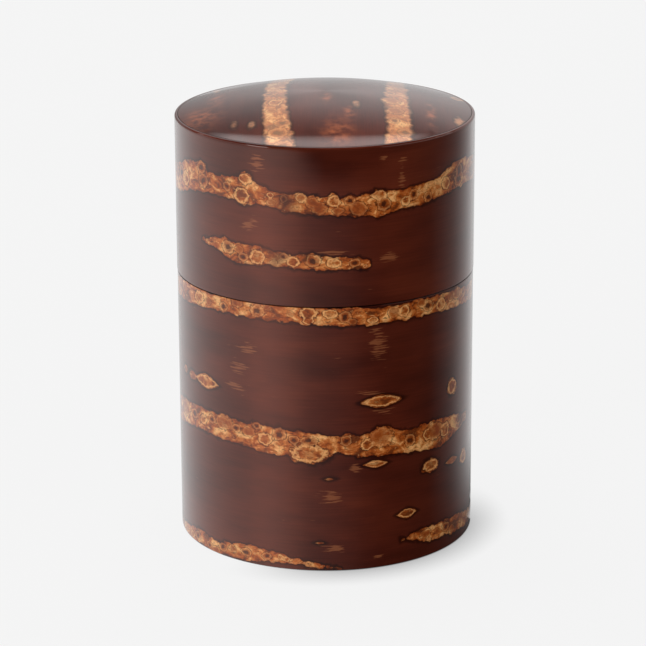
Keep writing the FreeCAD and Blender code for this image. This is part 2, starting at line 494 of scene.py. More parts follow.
@dataclass
class BarkFigure:
    """All that is drawn on one sheet of bark."""

    sheet: Sheet
    seed: int
    bands: list[Band] = field(default_factory=list)
    faded: list[FleckPatch] = field(default_factory=list)
    cells: list[Cell] = field(default_factory=list)
    flecks: list[FleckPatch] = field(default_factory=list)
    blushes: list[FleckPatch] = field(default_factory=list)
    bleach: float = 0.0

    CELL_STEP = (0.7, 1.6)
    CELL_SIZE = (0.2, 0.42)
    CELL_STRETCH = (1.0, 1.5)
    CELL_DRIFT = 0.3
    KINDS = (CellKind.PIT, CellKind.RING, CellKind.PLAIN)
    KIND_SHARES = (0.35, 0.15, 0.5)
    LEAST_THICKNESS = 0.8
    CALM = 0.3
    FAR = 99.0
    FARTHEST_CELL = 4.0

    def scatter_cells(self) -> None:
        """Fills the bands with cells of their own where none was given."""
        draw = np.random.default_rng(self.seed)
        placed = list(self.cells)
        for band in self.bands:
            run = band.knots[0][0]
            while run < band.knots[-1][0]:
                low, high = (float(edge[0]) for edge in band.edges(np.array([run])))
                thick = max(high - low, self.LEAST_THICKNESS)
                rise = (low + high) / 2 + draw.uniform(-self.CELL_DRIFT, self.CELL_DRIFT) * thick
                half = draw.uniform(*self.CELL_SIZE) * thick
                kind = self.KINDS[draw.choice(len(self.KINDS), p=self.KIND_SHARES)]
                cell = Cell(run, rise, half * draw.uniform(*self.CELL_STRETCH), half, kind)
                if all(math.hypot(c.run - run, c.rise - rise) > c.half_run for c in placed):
                    self.cells.append(cell)
                run += draw.uniform(*self.CELL_STEP) * thick

    def write(self, mesh: bpy.types.Mesh) -> None:
        """Writes the figure to a mesh, as attributes of its vertices.

        Args:
            mesh: A sheet's mesh, in place.
        """
        run, rise = self.sheet.flat(vertex_places(mesh))
        depth = np.full(len(run), -self.FAR)
        for band in self.bands:
            depth = np.maximum(depth, band.depth(run, rise))
        ragged = np.ones(len(run))
        nearest = np.full(len(run), self.FAR)
        pit = np.zeros(len(run))
        ring = np.zeros(len(run))
        for cell in self.cells:
            near = cell.nearness(run, rise)
            closer = near < nearest
            nearest = np.where(closer, near, nearest)
            pit = np.where(closer, cell.kind.pit, pit)
            ring = np.where(closer, cell.kind.ring, ring)
            inside = (1 - near) * min(cell.half_run, cell.half_rise)
            if cell.outline is Outline.LENS:
                ragged = np.where(inside > depth, self.CALM, ragged)
            depth = np.maximum(depth, inside)
        flat = np.column_stack((run, rise, np.zeros(len(run))))
        attribute = mesh.attributes.new("sheet", "FLOAT_VECTOR", "POINT")
        attribute.data.foreach_set("vector", flat.astype(np.float32).ravel())
        for name, values in {
            "depth": depth,
            "ragged": ragged,
            "cell": np.minimum(nearest, self.FARTHEST_CELL),
            "pit": pit,
            "ring": ring,
            "fleck": self.patches(self.flecks, run, rise),
            "faded": self.patches(self.faded, run, rise),
            "blush": self.patches(self.blushes, run, rise),
            "bleach": np.full(len(run), self.bleach),
            "margin": self.sheet.margin(run, rise),
        }.items():
            write_values(mesh, name, values)

    @staticmethod
    def patches(found: Iterable[FleckPatch], run: np.ndarray, rise: np.ndarray) -> np.ndarray:
        """How strongly points lie in patches.

        Args:
            found: The patches.
            run: The points' run.
            rise: The points' rise.

        Returns:
            1 in a patch's middle, fading to 0 outside it.
        """
        strength = np.zeros(len(run))
        for patch in found:
            along = (run - patch.run) / patch.half_run
            across = (rise - patch.rise) / patch.half_rise
            strength = np.maximum(strength, np.exp(-(along**2 + across**2)))
        return strength


# Shader nodes


def grey(level: float) -> Colour:
    """A grey of that level."""
    return (level, level, level)


@dataclass(frozen=True)
class Cloud:
    """A cloudy texture on the flat sheet.

    The run and the rise are how fine it is along them, for each millimetre. Detail is how many
    finer layers it has, rough is how strong those are, and twist is how much it folds on itself.
    """

    run: float
    rise: float
    detail: float = 3.0
    rough: float = 0.5
    twist: float = 0.0


class Nodes:
    """Builds the nodes of one material or world, one short call each."""

    def __init__(self, owner: bpy.types.Material | bpy.types.World) -> None:
        """Starts without nodes.

        Args:
            owner: The material or world that they are for.
        """
        owner.use_nodes = True
        self.owner = owner
        self.tree = owner.node_tree
        self.tree.nodes.clear()

    @classmethod
    def for_material(cls, name: str) -> "Nodes":
        """Starts a new material of that name."""
        return cls(bpy.data.materials.new(name))

    def add(self, kind: str, inputs: dict | None = None, **settings: object) -> bpy.types.Node:
        """Adds a node.

        Args:
            kind: The node's type.
            inputs: What goes into its sockets, by name or number: a socket or a plain value.
            **settings: The node's own properties.

        Returns:
            The node.
        """
        node = self.tree.nodes.new(kind)
        for key, value in settings.items():
            setattr(node, key, value)
        for key, value in (inputs or {}).items():
            if isinstance(value, bpy.types.NodeSocket):
                self.tree.links.new(value, node.inputs[key])
            else:
                node.inputs[key].default_value = value
        return node

    def read(self, name: str, output: str = "Fac") -> Socket:
        """Reads what the mesh carries at each vertex under that name."""
        return self.add("ShaderNodeAttribute", attribute_name=name).outputs[output]

    def seen(self) -> Socket:
        """Tells what is seen from what only lights.

        Returns:
            1 for what the camera sees, straight, mirrored or through something, and 0 for the rest.
        """
        path = self.add("ShaderNodeLightPath").outputs
        direct = self.math("ADD", path["Is Camera Ray"], path["Is Glossy Ray"])
        return self.math("MINIMUM", self.math("ADD", direct, path["Is Transmission Ray"]), 1.0)

    def math(self, operation: str, first: Term, second: Term = 0.0, third: Term = 0.0) -> Socket:
        """One sum.

        Args:
            operation: Its name in Blender.
            first: A socket or a number, as the others are.
            second: The second term.
            third: The third term.

        Returns:
            The result's socket.
        """
        terms = {0: first, 1: second, 2: third}
        return self.add("ShaderNodeMath", terms, operation=operation).outputs[0]

    def steps(
        self, value: Socket, low: Term, high: Term, start: float = 0.0, end: float = 1.0
    ) -> Socket:
        """Turns a value into a smooth step.

        Args:
            value: A socket.
            low: Where the step starts, a socket or a number.
            high: Where it ends, a socket or a number.
            start: The result before it.
            end: The result after it.

        Returns:
            The result's socket.
        """
        inputs = {"Value": value, 1: low, 2: high, 3: start, 4: end}
        return self.add("ShaderNodeMapRange", inputs, interpolation_type="SMOOTHSTEP").outputs[0]

    def cloud(self, flat: Socket, cloud: Cloud) -> Socket:
        """A cloudy texture.

        Args:
            flat: The place on the flat sheet, in millimetres.
            cloud: The texture.

        Returns:
            Its value's socket, about 0.2 to 0.8.
        """
        scale = {0: flat, 1: (cloud.run, cloud.rise, 1.0)}
        inputs = {
            "Vector": self.add("ShaderNodeVectorMath", scale, operation="MULTIPLY").outputs[0],
            "Scale": 1.0,
            "Detail": cloud.detail,
            "Roughness": cloud.rough,
            "Distortion": cloud.twist,
        }
        return self.add("ShaderNodeTexNoise", inputs).outputs[0]

    def centred(self, flat: Socket, cloud: Cloud) -> Socket:
        """A cloudy texture that swings about 0."""
        return self.math("SUBTRACT", self.cloud(flat, cloud), 0.5)

    def ramp(self, value: Socket, stops: Sequence[tuple[float, Colour]]) -> Socket:
        """Colours a value.

        Args:
            value: A socket from 0 to 1.
            stops: Places from 0 to 1 with their colours, in order.

        Returns:
            The colour's socket.
        """
        node = self.add("ShaderNodeValToRGB", {0: value})
        elements = node.color_ramp.elements
        while len(elements) < len(stops):
            elements.new(1.0)
        for element, (place, colour) in zip(elements, stops):
            element.position = place
            element.color = (*colour, 1.0)
        return node.outputs[0]

    def mix(
        self, share: Term, first: Socket | Colour, second: Socket | Colour, blend: str = "MIX"
    ) -> Socket:
        """Mixes two colours.

        Args:
            share: How much of the second, a socket or a number.
            first: A socket or a colour.
            second: A socket or a colour.
            blend: How they mix.

        Returns:
            The colour's socket.
        """
        node = self.add("ShaderNodeMix", {0: share}, data_type="RGBA", blend_type=blend)
        for number, colour in ((6, first), (7, second)):
            if isinstance(colour, bpy.types.NodeSocket):
                self.tree.links.new(colour, node.inputs[number])
            else:
                node.inputs[number].default_value = (*colour, 1.0)
        return node.outputs[2]

    def bump(self, height: Socket, depth_mm: float) -> Socket:
        """Turns a height into a normal.

        Args:
            height: A socket from 0 to 1.
            depth_mm: How deep that is.

        Returns:
            The normal's socket.
        """
        inputs = {"Height": height, "Distance": depth_mm * MM, "Strength": 1.0}
        return self.add("ShaderNodeBump", inputs).outputs[0]

    def finish(
        self, shader: bpy.types.Node, output: str = "ShaderNodeOutputMaterial"
    ) -> bpy.types.Material | bpy.types.World:
        """Sends a shader to the output.

        Args:
            shader: The node whose first output is the surface.
            output: The output node's type.

        Returns:
            The material or world.
        """
        self.add(output, {"Surface": shader.outputs[0]})
        return self.owner


# Finishes


@dataclass(frozen=True)
class PolishedBark:
    """Cherry bark polished to a gloss, with its lenticels.

    Under the clear lacquer lies its silk, a red sheen that is drawn out upright on the wall. The
    edges, the halo and the rind are in millimetres inwards from a lenticel's edge. The seam shade
    is in millimetres from the sheet's own edge: a painted shade that darkens the bark along every
    cut edge, where lid meets body, at the foot and round the dome's rim.
    """

    dark: Colour = (0.044, 0.0060, 0.0034)
    middle: Colour = (0.088, 0.0136, 0.0064)
    red: Colour = (0.140, 0.0240, 0.0100)
    blush: Colour = (0.350, 0.0900, 0.0300)
    cork_dark: Colour = (0.150, 0.0330, 0.0060)
    cork_brown: Colour = (0.300, 0.0580, 0.0083)
    cork_orange: Colour = (0.410, 0.0830, 0.0115)
    cork_tan: Colour = (0.600, 0.1850, 0.0400)
    cork_pale: Colour = (0.920, 0.4700, 0.1700)
    cork_bleached: Colour = (0.700, 0.4100, 0.2400)
    vein: Colour = (0.030, 0.0070, 0.0025)
    fleck: Colour = (0.310, 0.1000, 0.0380)
    glow: Colour = (1.0, 0.26, 0.13)
    depth_of_glow: float = 0.5
    silk: float = 0.34
    silk_across: float = 0.9
    upright: float = 0.25
    # Painted seam shade along the sheet's cut edges, and how rough the bark is there
    cut_roughness: float = 0.7
    seam_shade_mm: Span = (0.06, 0.26)
    seam_shade_share: float = 0.95
    lacquer: float = 0.06
    relief_mm: float = 0.012
    edge_mm: Span = (-0.10, 0.14)
    bleached_edge_mm: Span = (-1.5, 2.5)
    faded_share: float = 0.72
    lobes_mm: float = 2.2
    teeth_mm: float = 0.6
    streak_shade: float = 0.55
    streak_dark: float = 0.45
    fleck_share: float = 0.6
    fleck_pull: float = 0.34
    halo_mm: Span = (-1.0, -0.05)
    halo_share: float = 0.85
    rind_mm: Span = (0.10, 0.65)
    rind_share: float = 0.45
    patch_pull: float = 0.95
    dark_crumb_share: float = 0.7
    pale_crumb_share: float = 0.6
    crack_share: float = 0.25
    crack_wobble: float = 0.5
    plates: float = 0.62
    brown_share: float = 0.65
    ringed_brown_share: float = 0.25
    ring_share: float = 0.75
    border_share: float = 0.8
    pit_share: float = 0.9

    # Textures of the bark, of a lenticel's edge and of its cork
    CLOUDS = Cloud(0.022, 0.075, 3.0, 0.55)
    STREAKS = Cloud(0.07, 2.4, 4.0, 0.62)
    DASHES = Cloud(0.20, 2.2, 2.0)
    CLUMPS = Cloud(0.3, 0.3, 5.0, 0.6)
    LOBES = Cloud(0.42, 0.42, 2.0)
    TEETH = Cloud(1.5, 1.5, 4.0, 0.6)
    PATCHES = Cloud(0.18, 0.18, 2.0)
    MOTTLE = Cloud(0.272, 0.408, 5.0, 0.5, 1.2)
    CRUMBS = Cloud(0.8, 1.5, 4.0, 0.6, 1.0)
    WOBBLE = Cloud(0.9, 0.9, 4.0, 0.6)

    # Where in those textures something starts and is full
    BARK_STOPS = (0.30, 0.50, 0.72)
    STREAK_STOPS = (0.30, 0.70)
    DASH = (0.72, 0.82)
    CLUMP = (0.38, 0.66)
    CORK_STOPS = (0.33, 0.44, 0.56, 0.70)
    DARK_CRUMB = (0.34, 0.44)
    PALE_CRUMB = (0.58, 0.70)
    CRACK = (0.02, 0.08)

    # Where in a cell, as shares of the way from its middle to its edge
    DISC = (0.62, 0.90)
    RING_RISE = (0.55, 0.72)
    RING_FALL = (0.78, 0.92)
    BORDER_RISE = (0.86, 0.95)
    BORDER_FALL = (0.97, 1.06)
    PIT = (0.30, 0.50)

    # How strong a cell's ring is where its disc starts to be less brown, and where it is least so
    RINGED = (0.3, 1.0)

    def material(self) -> bpy.types.Material:
        """Makes the material, for a mesh that carries a bark figure.

        Returns:
            The material.
        """
        nodes = Nodes.for_material("polished_cherry_bark")
        flat = nodes.read("sheet", "Vector")
        depth = self._ragged_depth(nodes, flat)
        bark = self._bark(nodes, flat, depth)
        cork, relief = self._cork(nodes, flat, depth)
        inside = self._inside(nodes, depth)
        faded = nodes.math("MULTIPLY", nodes.read("faded"), self.faded_share)
        shown = nodes.math("MULTIPLY", inside, nodes.math("SUBTRACT", 1.0, faded))
        colour = nodes.mix(shown, bark, cork)
        # Painted seam shade: near the sheet's cut edges the colour is darkened by the vein's
        # brown-black and the coat is taken off
        cut = nodes.steps(nodes.read("margin"), *self.seam_shade_mm, self.seam_shade_share, 0.0)
        colour = nodes.mix(cut, colour, self.vein, "MULTIPLY")
        round_the_axis = nodes.add("ShaderNodeTangent", direction_type="RADIAL", axis="Z")
        height = nodes.math("MULTIPLY", relief, inside)
        shader = nodes.add(
            "ShaderNodeBsdfPrincipled",
            {
                "Base Color": colour,
                "Roughness": nodes.steps(cut, 0.0, 1.0, self.silk, self.cut_roughness),
                "Specular IOR Level": self.depth_of_glow,
                "Anisotropic": self.silk_across,
                "Anisotropic Rotation": self.upright,
                "Tangent": round_the_axis.outputs[0],
                "Specular Tint": (*self.glow, 1.0),
                "Coat Weight": nodes.math("SUBTRACT", 1.0, cut),
                "Coat Roughness": self.lacquer,
                "Normal": nodes.bump(height, self.relief_mm),
            },
        )
        return nodes.finish(shader)

    def _ragged_depth(self, nodes: Nodes, flat: Socket) -> Socket:
        """The depth inside the lenticels, with the ragged edge of cork.

        Args:
            nodes: The material's nodes.
            flat: The place on the flat sheet.

        Returns:
            Millimetres from the edge, negative outside.
        """
        off = nodes.math("MULTIPLY", nodes.centred(flat, self.TEETH), self.teeth_mm)
        off = nodes.math("MULTIPLY_ADD", nodes.centred(flat, self.LOBES), self.lobes_mm, off)
        return nodes.math("MULTIPLY_ADD", off, nodes.read("ragged"), nodes.read("depth"))

    def _inside(self, nodes: Nodes, depth: Socket) -> Socket:
        """How much of the cork shows. On a bleached sheet its edges are softer.

        Args:
            nodes: The material's nodes.
            depth: The depth inside the lenticels.

        Returns:
            0 on the bark, 1 on the cork.
        """
        bleach = nodes.read("bleach")
        outermost, innermost = (
            nodes.math("MULTIPLY_ADD", bleach, wider, edge)
            for wider, edge in zip(self.bleached_edge_mm, self.edge_mm)
        )
        return nodes.steps(depth, outermost, innermost)

    def _bark(self, nodes: Nodes, flat: Socket, depth: Socket) -> Socket:
        """The bark between the lenticels: streaked, flecked and darker round them.

        Args:
            nodes: The material's nodes.
            flat: The place on the flat sheet.
            depth: The depth inside the lenticels.

        Returns:
            Its colour.
        """
        shades = zip(self.BARK_STOPS, (self.dark, self.middle, self.red))
        bark = nodes.ramp(nodes.cloud(flat, self.CLOUDS), tuple(shades))
        greys = zip(self.STREAK_STOPS, (grey(self.streak_dark), grey(1.0)))
        streaks = nodes.ramp(nodes.cloud(flat, self.STREAKS), tuple(greys))
        bark = nodes.mix(self.streak_shade, bark, streaks, "MULTIPLY")
        dashes = nodes.cloud(flat, self.DASHES)
        dashes = nodes.math("MULTIPLY_ADD", nodes.read("fleck"), self.fleck_pull, dashes)
        bark = nodes.mix(nodes.steps(dashes, *self.DASH, 0.0, self.fleck_share), bark, self.fleck)
        clumps = nodes.steps(nodes.cloud(flat, self.CLUMPS), *self.CLUMP)
        bark = nodes.mix(nodes.math("MULTIPLY", nodes.read("blush"), clumps), bark, self.blush)
        halo = nodes.steps(depth, *self.halo_mm, 0.0, self.halo_share)
        return nodes.mix(halo, bark, self.dark, "MULTIPLY")

    def _cork(self, nodes: Nodes, flat: Socket, depth: Socket) -> tuple[Socket, Socket]:
        """The cork of the lenticels: mottled, veined, with pits and rings.

        Args:
            nodes: The material's nodes.
            flat: The place on the flat sheet.
            depth: The depth inside the lenticels.

        Returns:
            Its colour and its relief.
        """
        patches = nodes.centred(flat, self.PATCHES)
        mottle = nodes.cloud(flat, self.MOTTLE)
        mottle = nodes.math("MULTIPLY_ADD", patches, self.patch_pull, mottle)
        shades = (self.cork_dark, self.cork_orange, self.cork_tan, self.cork_pale)
        cork = nodes.ramp(mottle, tuple(zip(self.CORK_STOPS, shades)))
        crumbs = nodes.cloud(flat, self.CRUMBS)
        dark_crumbs = nodes.steps(crumbs, *self.DARK_CRUMB, self.dark_crumb_share, 0.0)
        cork = nodes.mix(dark_crumbs, cork, self.vein)
        pale_crumbs = nodes.steps(crumbs, *self.PALE_CRUMB, 0.0, self.pale_crumb_share)
        cork = nodes.mix(pale_crumbs, cork, self.cork_pale)
        wobble = nodes.centred(flat, self.WOBBLE)
        cork, hollow = self._cells(nodes, cork, nodes.math("ADD", wobble, nodes.read("cell")))
        plates = {"Vector": flat, "Scale": self.plates}
        cracks = nodes.add("ShaderNodeTexVoronoi", plates, feature="DISTANCE_TO_EDGE").outputs[0]
        cracks = nodes.math("MULTIPLY_ADD", wobble, self.crack_wobble, cracks)
        cracks = nodes.steps(cracks, *self.CRACK, self.crack_share, 0.0)
        cork = nodes.mix(cracks, cork, self.cork_dark)
        rind = nodes.steps(depth, *self.rind_mm, self.rind_share, 0.0)
        cork = nodes.mix(rind, cork, self.cork_orange, "MULTIPLY")
        cork = nodes.mix(nodes.read("bleach"), cork, self.cork_bleached)
        return cork, nodes.math("SUBTRACT", mottle, hollow)

    def _cells(self, nodes: Nodes, cork: Socket, cell: Socket) -> tuple[Socket, Socket]:
        """Draws the cells on the cork: a brown disc, a pale ring, a dark border and a dark pit.

        Args:
            nodes: The material's nodes.
            cork: The cork's colour.
            cell: How far out a place lies in its cell, 1 on the cell's edge.

        Returns:
            The colour with its cells, and how deep the pits are.
        """
        ring = nodes.read("ring")
        brown = nodes.steps(ring, *self.RINGED, self.brown_share, self.ringed_brown_share)
        disc = nodes.math("MULTIPLY", nodes.steps(cell, *self.DISC, 1.0, 0.0), brown)
        cork = nodes.mix(disc, cork, self.cork_brown)
        pale = nodes.math("MULTIPLY", ring, self.ring_share)
        pale = nodes.math("MULTIPLY", nodes.steps(cell, *self.RING_RISE), pale)
        pale = nodes.math("MULTIPLY", nodes.steps(cell, *self.RING_FALL, 1.0, 0.0), pale)
        cork = nodes.mix(pale, cork, self.cork_pale)
        border = nodes.steps(cell, *self.BORDER_FALL, self.border_share, 0.0)
        border = nodes.math("MULTIPLY", nodes.steps(cell, *self.BORDER_RISE), border)
        cork = nodes.mix(border, cork, self.vein)
        hollow = nodes.math("MULTIPLY", nodes.steps(cell, *self.PIT, 1.0, 0.0), nodes.read("pit"))
        cork = nodes.mix(nodes.math("MULTIPLY", hollow, self.pit_share), cork, self.vein)
        return cork, hollow


# Meshes


def lathe(
    name: str,
    profile: Sequence[tuple[float, float]],
    columns: int,
    seam: float = 0.0,
) -> bpy.types.Object:
    """Turns a closed profile round the caddy's axis.

    Args:
        name: The object's name.
        profile: Radius and height of its points, in metres, anticlockwise. A point on the axis
            becomes one vertex.
        columns: How many steps go round.
        seam: The angle of the gap at the back, in radians. With none it goes all the way round.

    Returns:
        The object, linked to the scene.
    """
    half = math.pi - seam / 2
    count = columns + 1 if seam else columns
    angles = np.linspace(-half, half, columns + 1)[:count]
    vertices: list[tuple[float, float, float]] = []
    rows: list[list[int]] = []
    for radius, height in profile:
        if radius == 0:
            rows.append([len(vertices)] * count)
            vertices.append((0.0, 0.0, height))
            continue
        rows.append(list(range(len(vertices), len(vertices) + count)))
        vertices.extend((radius * math.sin(a), -radius * math.cos(a), height) for a in angles)
    faces: list[tuple[int, ...]] = []
    for row, after in zip(rows, rows[1:] + rows[:1]):
        for column in range(columns):
            beside = (column + 1) % count
            around = (row[column], row[beside], after[beside], after[column])
            face = tuple(dict.fromkeys(around))
            if len(face) > 2:
                faces.append(face)
    if seam:
        faces.append(tuple(row[-1] for row in rows))
        faces.append(tuple(row[0] for row in reversed(rows)))
    mesh = plain_mesh(name, vertices, faces)
    mesh.polygons.foreach_set("use_smooth", [True] * len(mesh.polygons))
    mesh.set_sharp_from_angle(angle=SHARP_ANGLE)
    mesh.update()
    return linked(name, mesh)


def rounded_corner(
    radius: float, height: float, amount: float, start: float, steps: int = 6
) -> list[tuple[float, float]]:
    """The points of a profile's rounded outer corner.

    Args:
        radius: The corner's radius from the axis.
        height: Its height.
        amount: The round.
        start: The angle where the round starts, in degrees: -90 underneath, 0 outside.
        steps: How many pieces it is cut into.

    Returns:
        Radius and height of each point.
    """
    middle = radius - amount
    middle_height = height + amount if start < 0 else height - amount
    angles = [math.radians(start + 90 * step / steps) for step in range(steps + 1)]
    return [(middle + amount * math.cos(a), middle_height + amount * math.sin(a)) for a in angles]


def node_radii(node: bpy.types.Object) -> tuple[float, float]:
    """The least and greatest distance of a CAD node's corners from the axis.

    Args:
        node: The node's object.

    Returns:
        Inner and outer radius in metres.
    """
    places = vertex_places(node.data)
    reach = np.hypot(places[:, 0], places[:, 1])
    return float(reach.min()), float(reach.max())


def rows_between(low: float, high: float, spacing: float) -> np.ndarray:
    """Evenly spaced heights from low to high, both ends left out."""
    count = max(2, round((high - low) / spacing))
    return np.linspace(low, high, count + 1)[1:-1]


@dataclass(frozen=True)
class BarkTube:
    """A polished sheet wrapped round a tube, with rounded edges and a butt seam at the back."""

    node: str
    bottom_round: float
    top_round: float
    spacing: float = 0.5 * MM
    seam_width: float = 0.2 * MM

    def build(self, frame: dict) -> bpy.types.Object:
        """Makes the sheet where its CAD node is.


        Returns:
            The sheet's object.
        """
        inner, outer = node_radii(frame["nodes"][self.node])
        low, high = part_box(self.node)
        profile = [(inner, low.z)]
        profile += rounded_corner(outer, low.z, self.bottom_round, -90)
        heights = rows_between(low.z + self.bottom_round, high.z - self.top_round, self.spacing)
        profile += [(outer, height) for height in heights]
        profile += rounded_corner(outer, high.z, self.top_round, 0)
        profile += [(inner, high.z)]
        columns = round(2 * math.pi * outer / self.spacing)
        return lathe(f"{self.node}_sheet", profile, columns, self.seam_width / outer)


@dataclass(frozen=True)
class BarkDome:
    """The polished sheet over the lid's dome."""

    node: str
    thickness: float = 0.6 * MM
    spacing: float = 0.5 * MM
    under_spacing: float = 4 * MM

    def build(self, sheet: DomeSheet) -> bpy.types.Object:
        """Makes the sheet where its CAD node is.

        Args:
            sheet: The dome's shape.

        Returns:
            The sheet's object.
        """
        edge = sheet.rim_radius
        upper = np.append(rows_between(0, edge, self.spacing)[::-1], 0.0)
        under = rows_between(0, edge, self.under_spacing)
        rim = self.height(sheet, edge)
        profile = [(edge, rim - self.thickness), (edge, rim)]
        profile += [(float(r), self.height(sheet, r)) for r in upper]
        profile += [(0.0, self.height(sheet, 0.0) - self.thickness)]
        profile += [(float(r), self.height(sheet, r) - self.thickness) for r in under]
        columns = round(2 * math.pi * edge / self.spacing)
        return lathe(f"{self.node}_sheet", profile, columns)

    @staticmethod
    def height(sheet: DomeSheet, radius: float) -> float:
        """The height of the dome at a distance from the axis."""
        ball = sheet.ball_radius
        return sheet.rim_height + sheet.rise - ball + math.sqrt(ball**2 - radius**2)


# What the photograph shows of the figure


CellMark = tuple[float, float, float, float, CellKind]
PatchMark = tuple[float, float, float, float]


class FigureReader:
    """Reads listed marks onto one sheet of bark."""

    LENS_LENGTHS_MM = (1.6, 4.5)
    LENS_SHAPES = (0.24, 0.4)
    LENS_KINDS = (CellKind.PIT, CellKind.PLAIN)
    FLECK_DRIFT_MM = 6
    FLECK_SIZE_MM = (4, 3)

    def __init__(self, sheet: Sheet, seed: int) -> None:
        """Starts an empty figure on a sheet."""
        self.figure = BarkFigure(sheet, seed)
        self.sheet = sheet

    def band(
        self, seen: Sequence[Knot], left: Sequence[Knot] = (), right: Sequence[Knot] = ()
    ) -> None:
        """Adds a band that runs round a tube.

        Args:
            seen: Its knots in the photograph, from left to right: x, and y of its upper and lower
                edge.
            left: Knots before them, out of sight: angle in degrees, lower and upper edge in
                millimetres.
            right: Knots after them, in the same way.
        """
        knots = []
        for x, top, bottom in seen:
            run_high, high = self.sheet.seen((x, top))
            run_low, low = self.sheet.seen((x, bottom))
            knots.append(((run_high + run_low) / 2, low, high))
        self.figure.bands.append(Band((*self.unseen(left), *knots, *self.unseen(right))))

    def unseen(self, knots: Sequence[Knot]) -> list[Knot]:
        """Knots out of sight, with their angles turned into runs."""
        return [(self.sheet.round_back(angle, low)[0], low, high) for angle, low, high in knots]

    def stripe(self, seen: Sequence[Knot], behind: Sequence[Knot] = ()) -> None:
        """Adds a stripe that runs over the dome.

        Args:
            seen: Its knots in the photograph, from front to back: y, and x of its left and right
                edge.
            behind: Knots after them, out of sight: run, left and right edge in millimetres.
        """
        knots = []
        for y, left, right in seen:
            run_left, low = self.sheet.seen((left, y))
            run_right, high = self.sheet.seen((right, y))
            knots.append(((run_left + run_right) / 2, low, high))
        self.figure.bands.append(Band((*knots, *behind)))

    def cells(self, marks: Sequence[CellMark], outline: Outline = Outline.ROUND) -> None:
        """Adds cells by their middle, half width and half height in the photograph, and their kind.

        Args:
            marks: The cells.
            outline: The outline of them all.
        """
        for x, y, wide, high, kind in marks:
            run, rise = self.sheet.seen((x, y))
            self.figure.cells.append(Cell(run, rise, *self.sheet.spread(wide, high), kind, outline))

    def patches(self, marks: Sequence[PatchMark], found: list[FleckPatch]) -> None:
        """Adds patches by their middle, half width and half height in the photograph.

        Args:
            marks: The patches.
            found: Where they go, the figure's flecks or faded places.
        """
        for x, y, wide, high in marks:
            run, rise = self.sheet.seen((x, y))
            found.append(FleckPatch(run, rise, *self.sheet.spread(wide, high)))

    def strew(self, count: int, degrees: tuple[float, float], heights: tuple[float, float]) -> None:
        """Strews small lenticels and fleck patches where the photograph shows nothing.

        Args:
            count: How many lenticels.
            degrees: The angles they lie between, on either side of the front.
            heights: The heights they lie between, in millimetres.
        """
        draw = np.random.default_rng(self.figure.seed + 1)
        drift = self.FLECK_DRIFT_MM
        for number in range(count):
            side = draw.choice((-1, 1))
            run, rise = self.sheet.round_back(side * draw.uniform(*degrees), draw.uniform(*heights))
            long = draw.uniform(*self.LENS_LENGTHS_MM)
            thick = long * draw.uniform(*self.LENS_SHAPES)
            kind = self.LENS_KINDS[number % len(self.LENS_KINDS)]
            self.figure.cells.append(Cell(run, rise, long, thick, kind, Outline.LENS))
            rise = draw.uniform(*heights)
            run += draw.uniform(-drift, drift)
            self.figure.flecks.append(FleckPatch(run, rise, *self.FLECK_SIZE_MM))


def lid_figure(sheet: TubeSheet) -> BarkFigure:
    """The figure of the lid's side.

    Args:
        sheet: The lid's sheet.

    Returns:
        The figure.
    """
    reader = FigureReader(sheet, seed=11)
    upper = (
        (178, 163, 189),
        (192, 160, 190),
        (206, 170, 192),
        (226, 177, 197),
        (247, 178, 202),
        (268, 189, 207),
        (287, 194, 212),
        (305, 196, 214),
        (325, 197, 215),
        (345, 198, 216),
        (362, 195, 216),
        (380, 192, 216),
        (400, 190, 209),
        (420, 185, 205),
        (436, 179, 199),
        (452, 164, 190),
        (463, 158, 184),
        (470, 156, 180),
    )
    upper_left = ((-118, 98, 98.4), (-98, 96.5, 103))
    upper_right = ((92, 98, 103), (128, 98.5, 101), (140, 99.6, 99.9))
    reader.band(upper, upper_left, upper_right)
    lower = (
        (203, 238, 240),
        (216, 237, 248),
        (226, 238, 256),
        (236, 243, 262),
        (253, 245, 264),
        (268, 250, 265),
        (285, 254, 267),
        (312, 255, 270),
        (334, 257, 270),
        (355, 258, 269),
        (366, 259, 268),
        (370, 261, 266),
    )
    reader.band(lower)
    reader.band((), ((100, 84, 84.3), (118, 83, 87.5), (146, 84, 89.5), (178, 85, 88)))
    reader.band((), ((-178, 87, 91), (-150, 86.5, 92), (-128, 88.5, 89)))
    reader.cells(
        (
            (201, 167, 8, 7, CellKind.PIT),
            (186, 178, 8, 8, CellKind.RING),
            (245, 179, 8, 6, CellKind.RING),
            (270, 195, 4, 3, CellKind.RING),
            (301, 198, 6, 5, CellKind.RING),
            (312, 203, 7, 6, CellKind.PLAIN),
            (334, 201, 7, 6, CellKind.RING),
            (350, 201, 6, 5, CellKind.PIT),
            (338, 211, 6, 4, CellKind.PLAIN),
            (384, 204, 8, 7, CellKind.PIT),
            (379, 195, 9, 5, CellKind.RING),
            (406, 201, 6, 5, CellKind.RING),
            (414, 194, 6, 6, CellKind.PIT),
            (428, 197, 6, 6, CellKind.PIT),
            (446, 183, 7, 7, CellKind.RING),
            (459, 171, 7, 9, CellKind.PIT),
            (228, 247, 8, 7, CellKind.PIT),
            (243, 257, 6, 5, CellKind.PIT),
            (257, 257, 9, 8, CellKind.RING),
            (293, 262, 7, 6, CellKind.RING),
            (313, 261, 8, 7, CellKind.PIT),
            (334, 263, 8, 5, CellKind.RING),
            (355, 263, 6, 5, CellKind.PIT),
        )
    )
    reader.patches(((286, 203, 11, 12), (277, 258, 9, 9)), reader.figure.faded)
    reader.patches(
        (
            (256, 162, 8, 10),
            (248, 224, 10, 10),
            (384, 158, 6, 4),
            (403, 159, 6, 4),
            (402, 178, 4, 14),
            (388, 258, 12, 6),
            (330, 253, 24, 3),
        ),
        reader.figure.flecks,
    )
    reader.strew(14, degrees=(95, 176), heights=(76, 112))
    return reader.figure


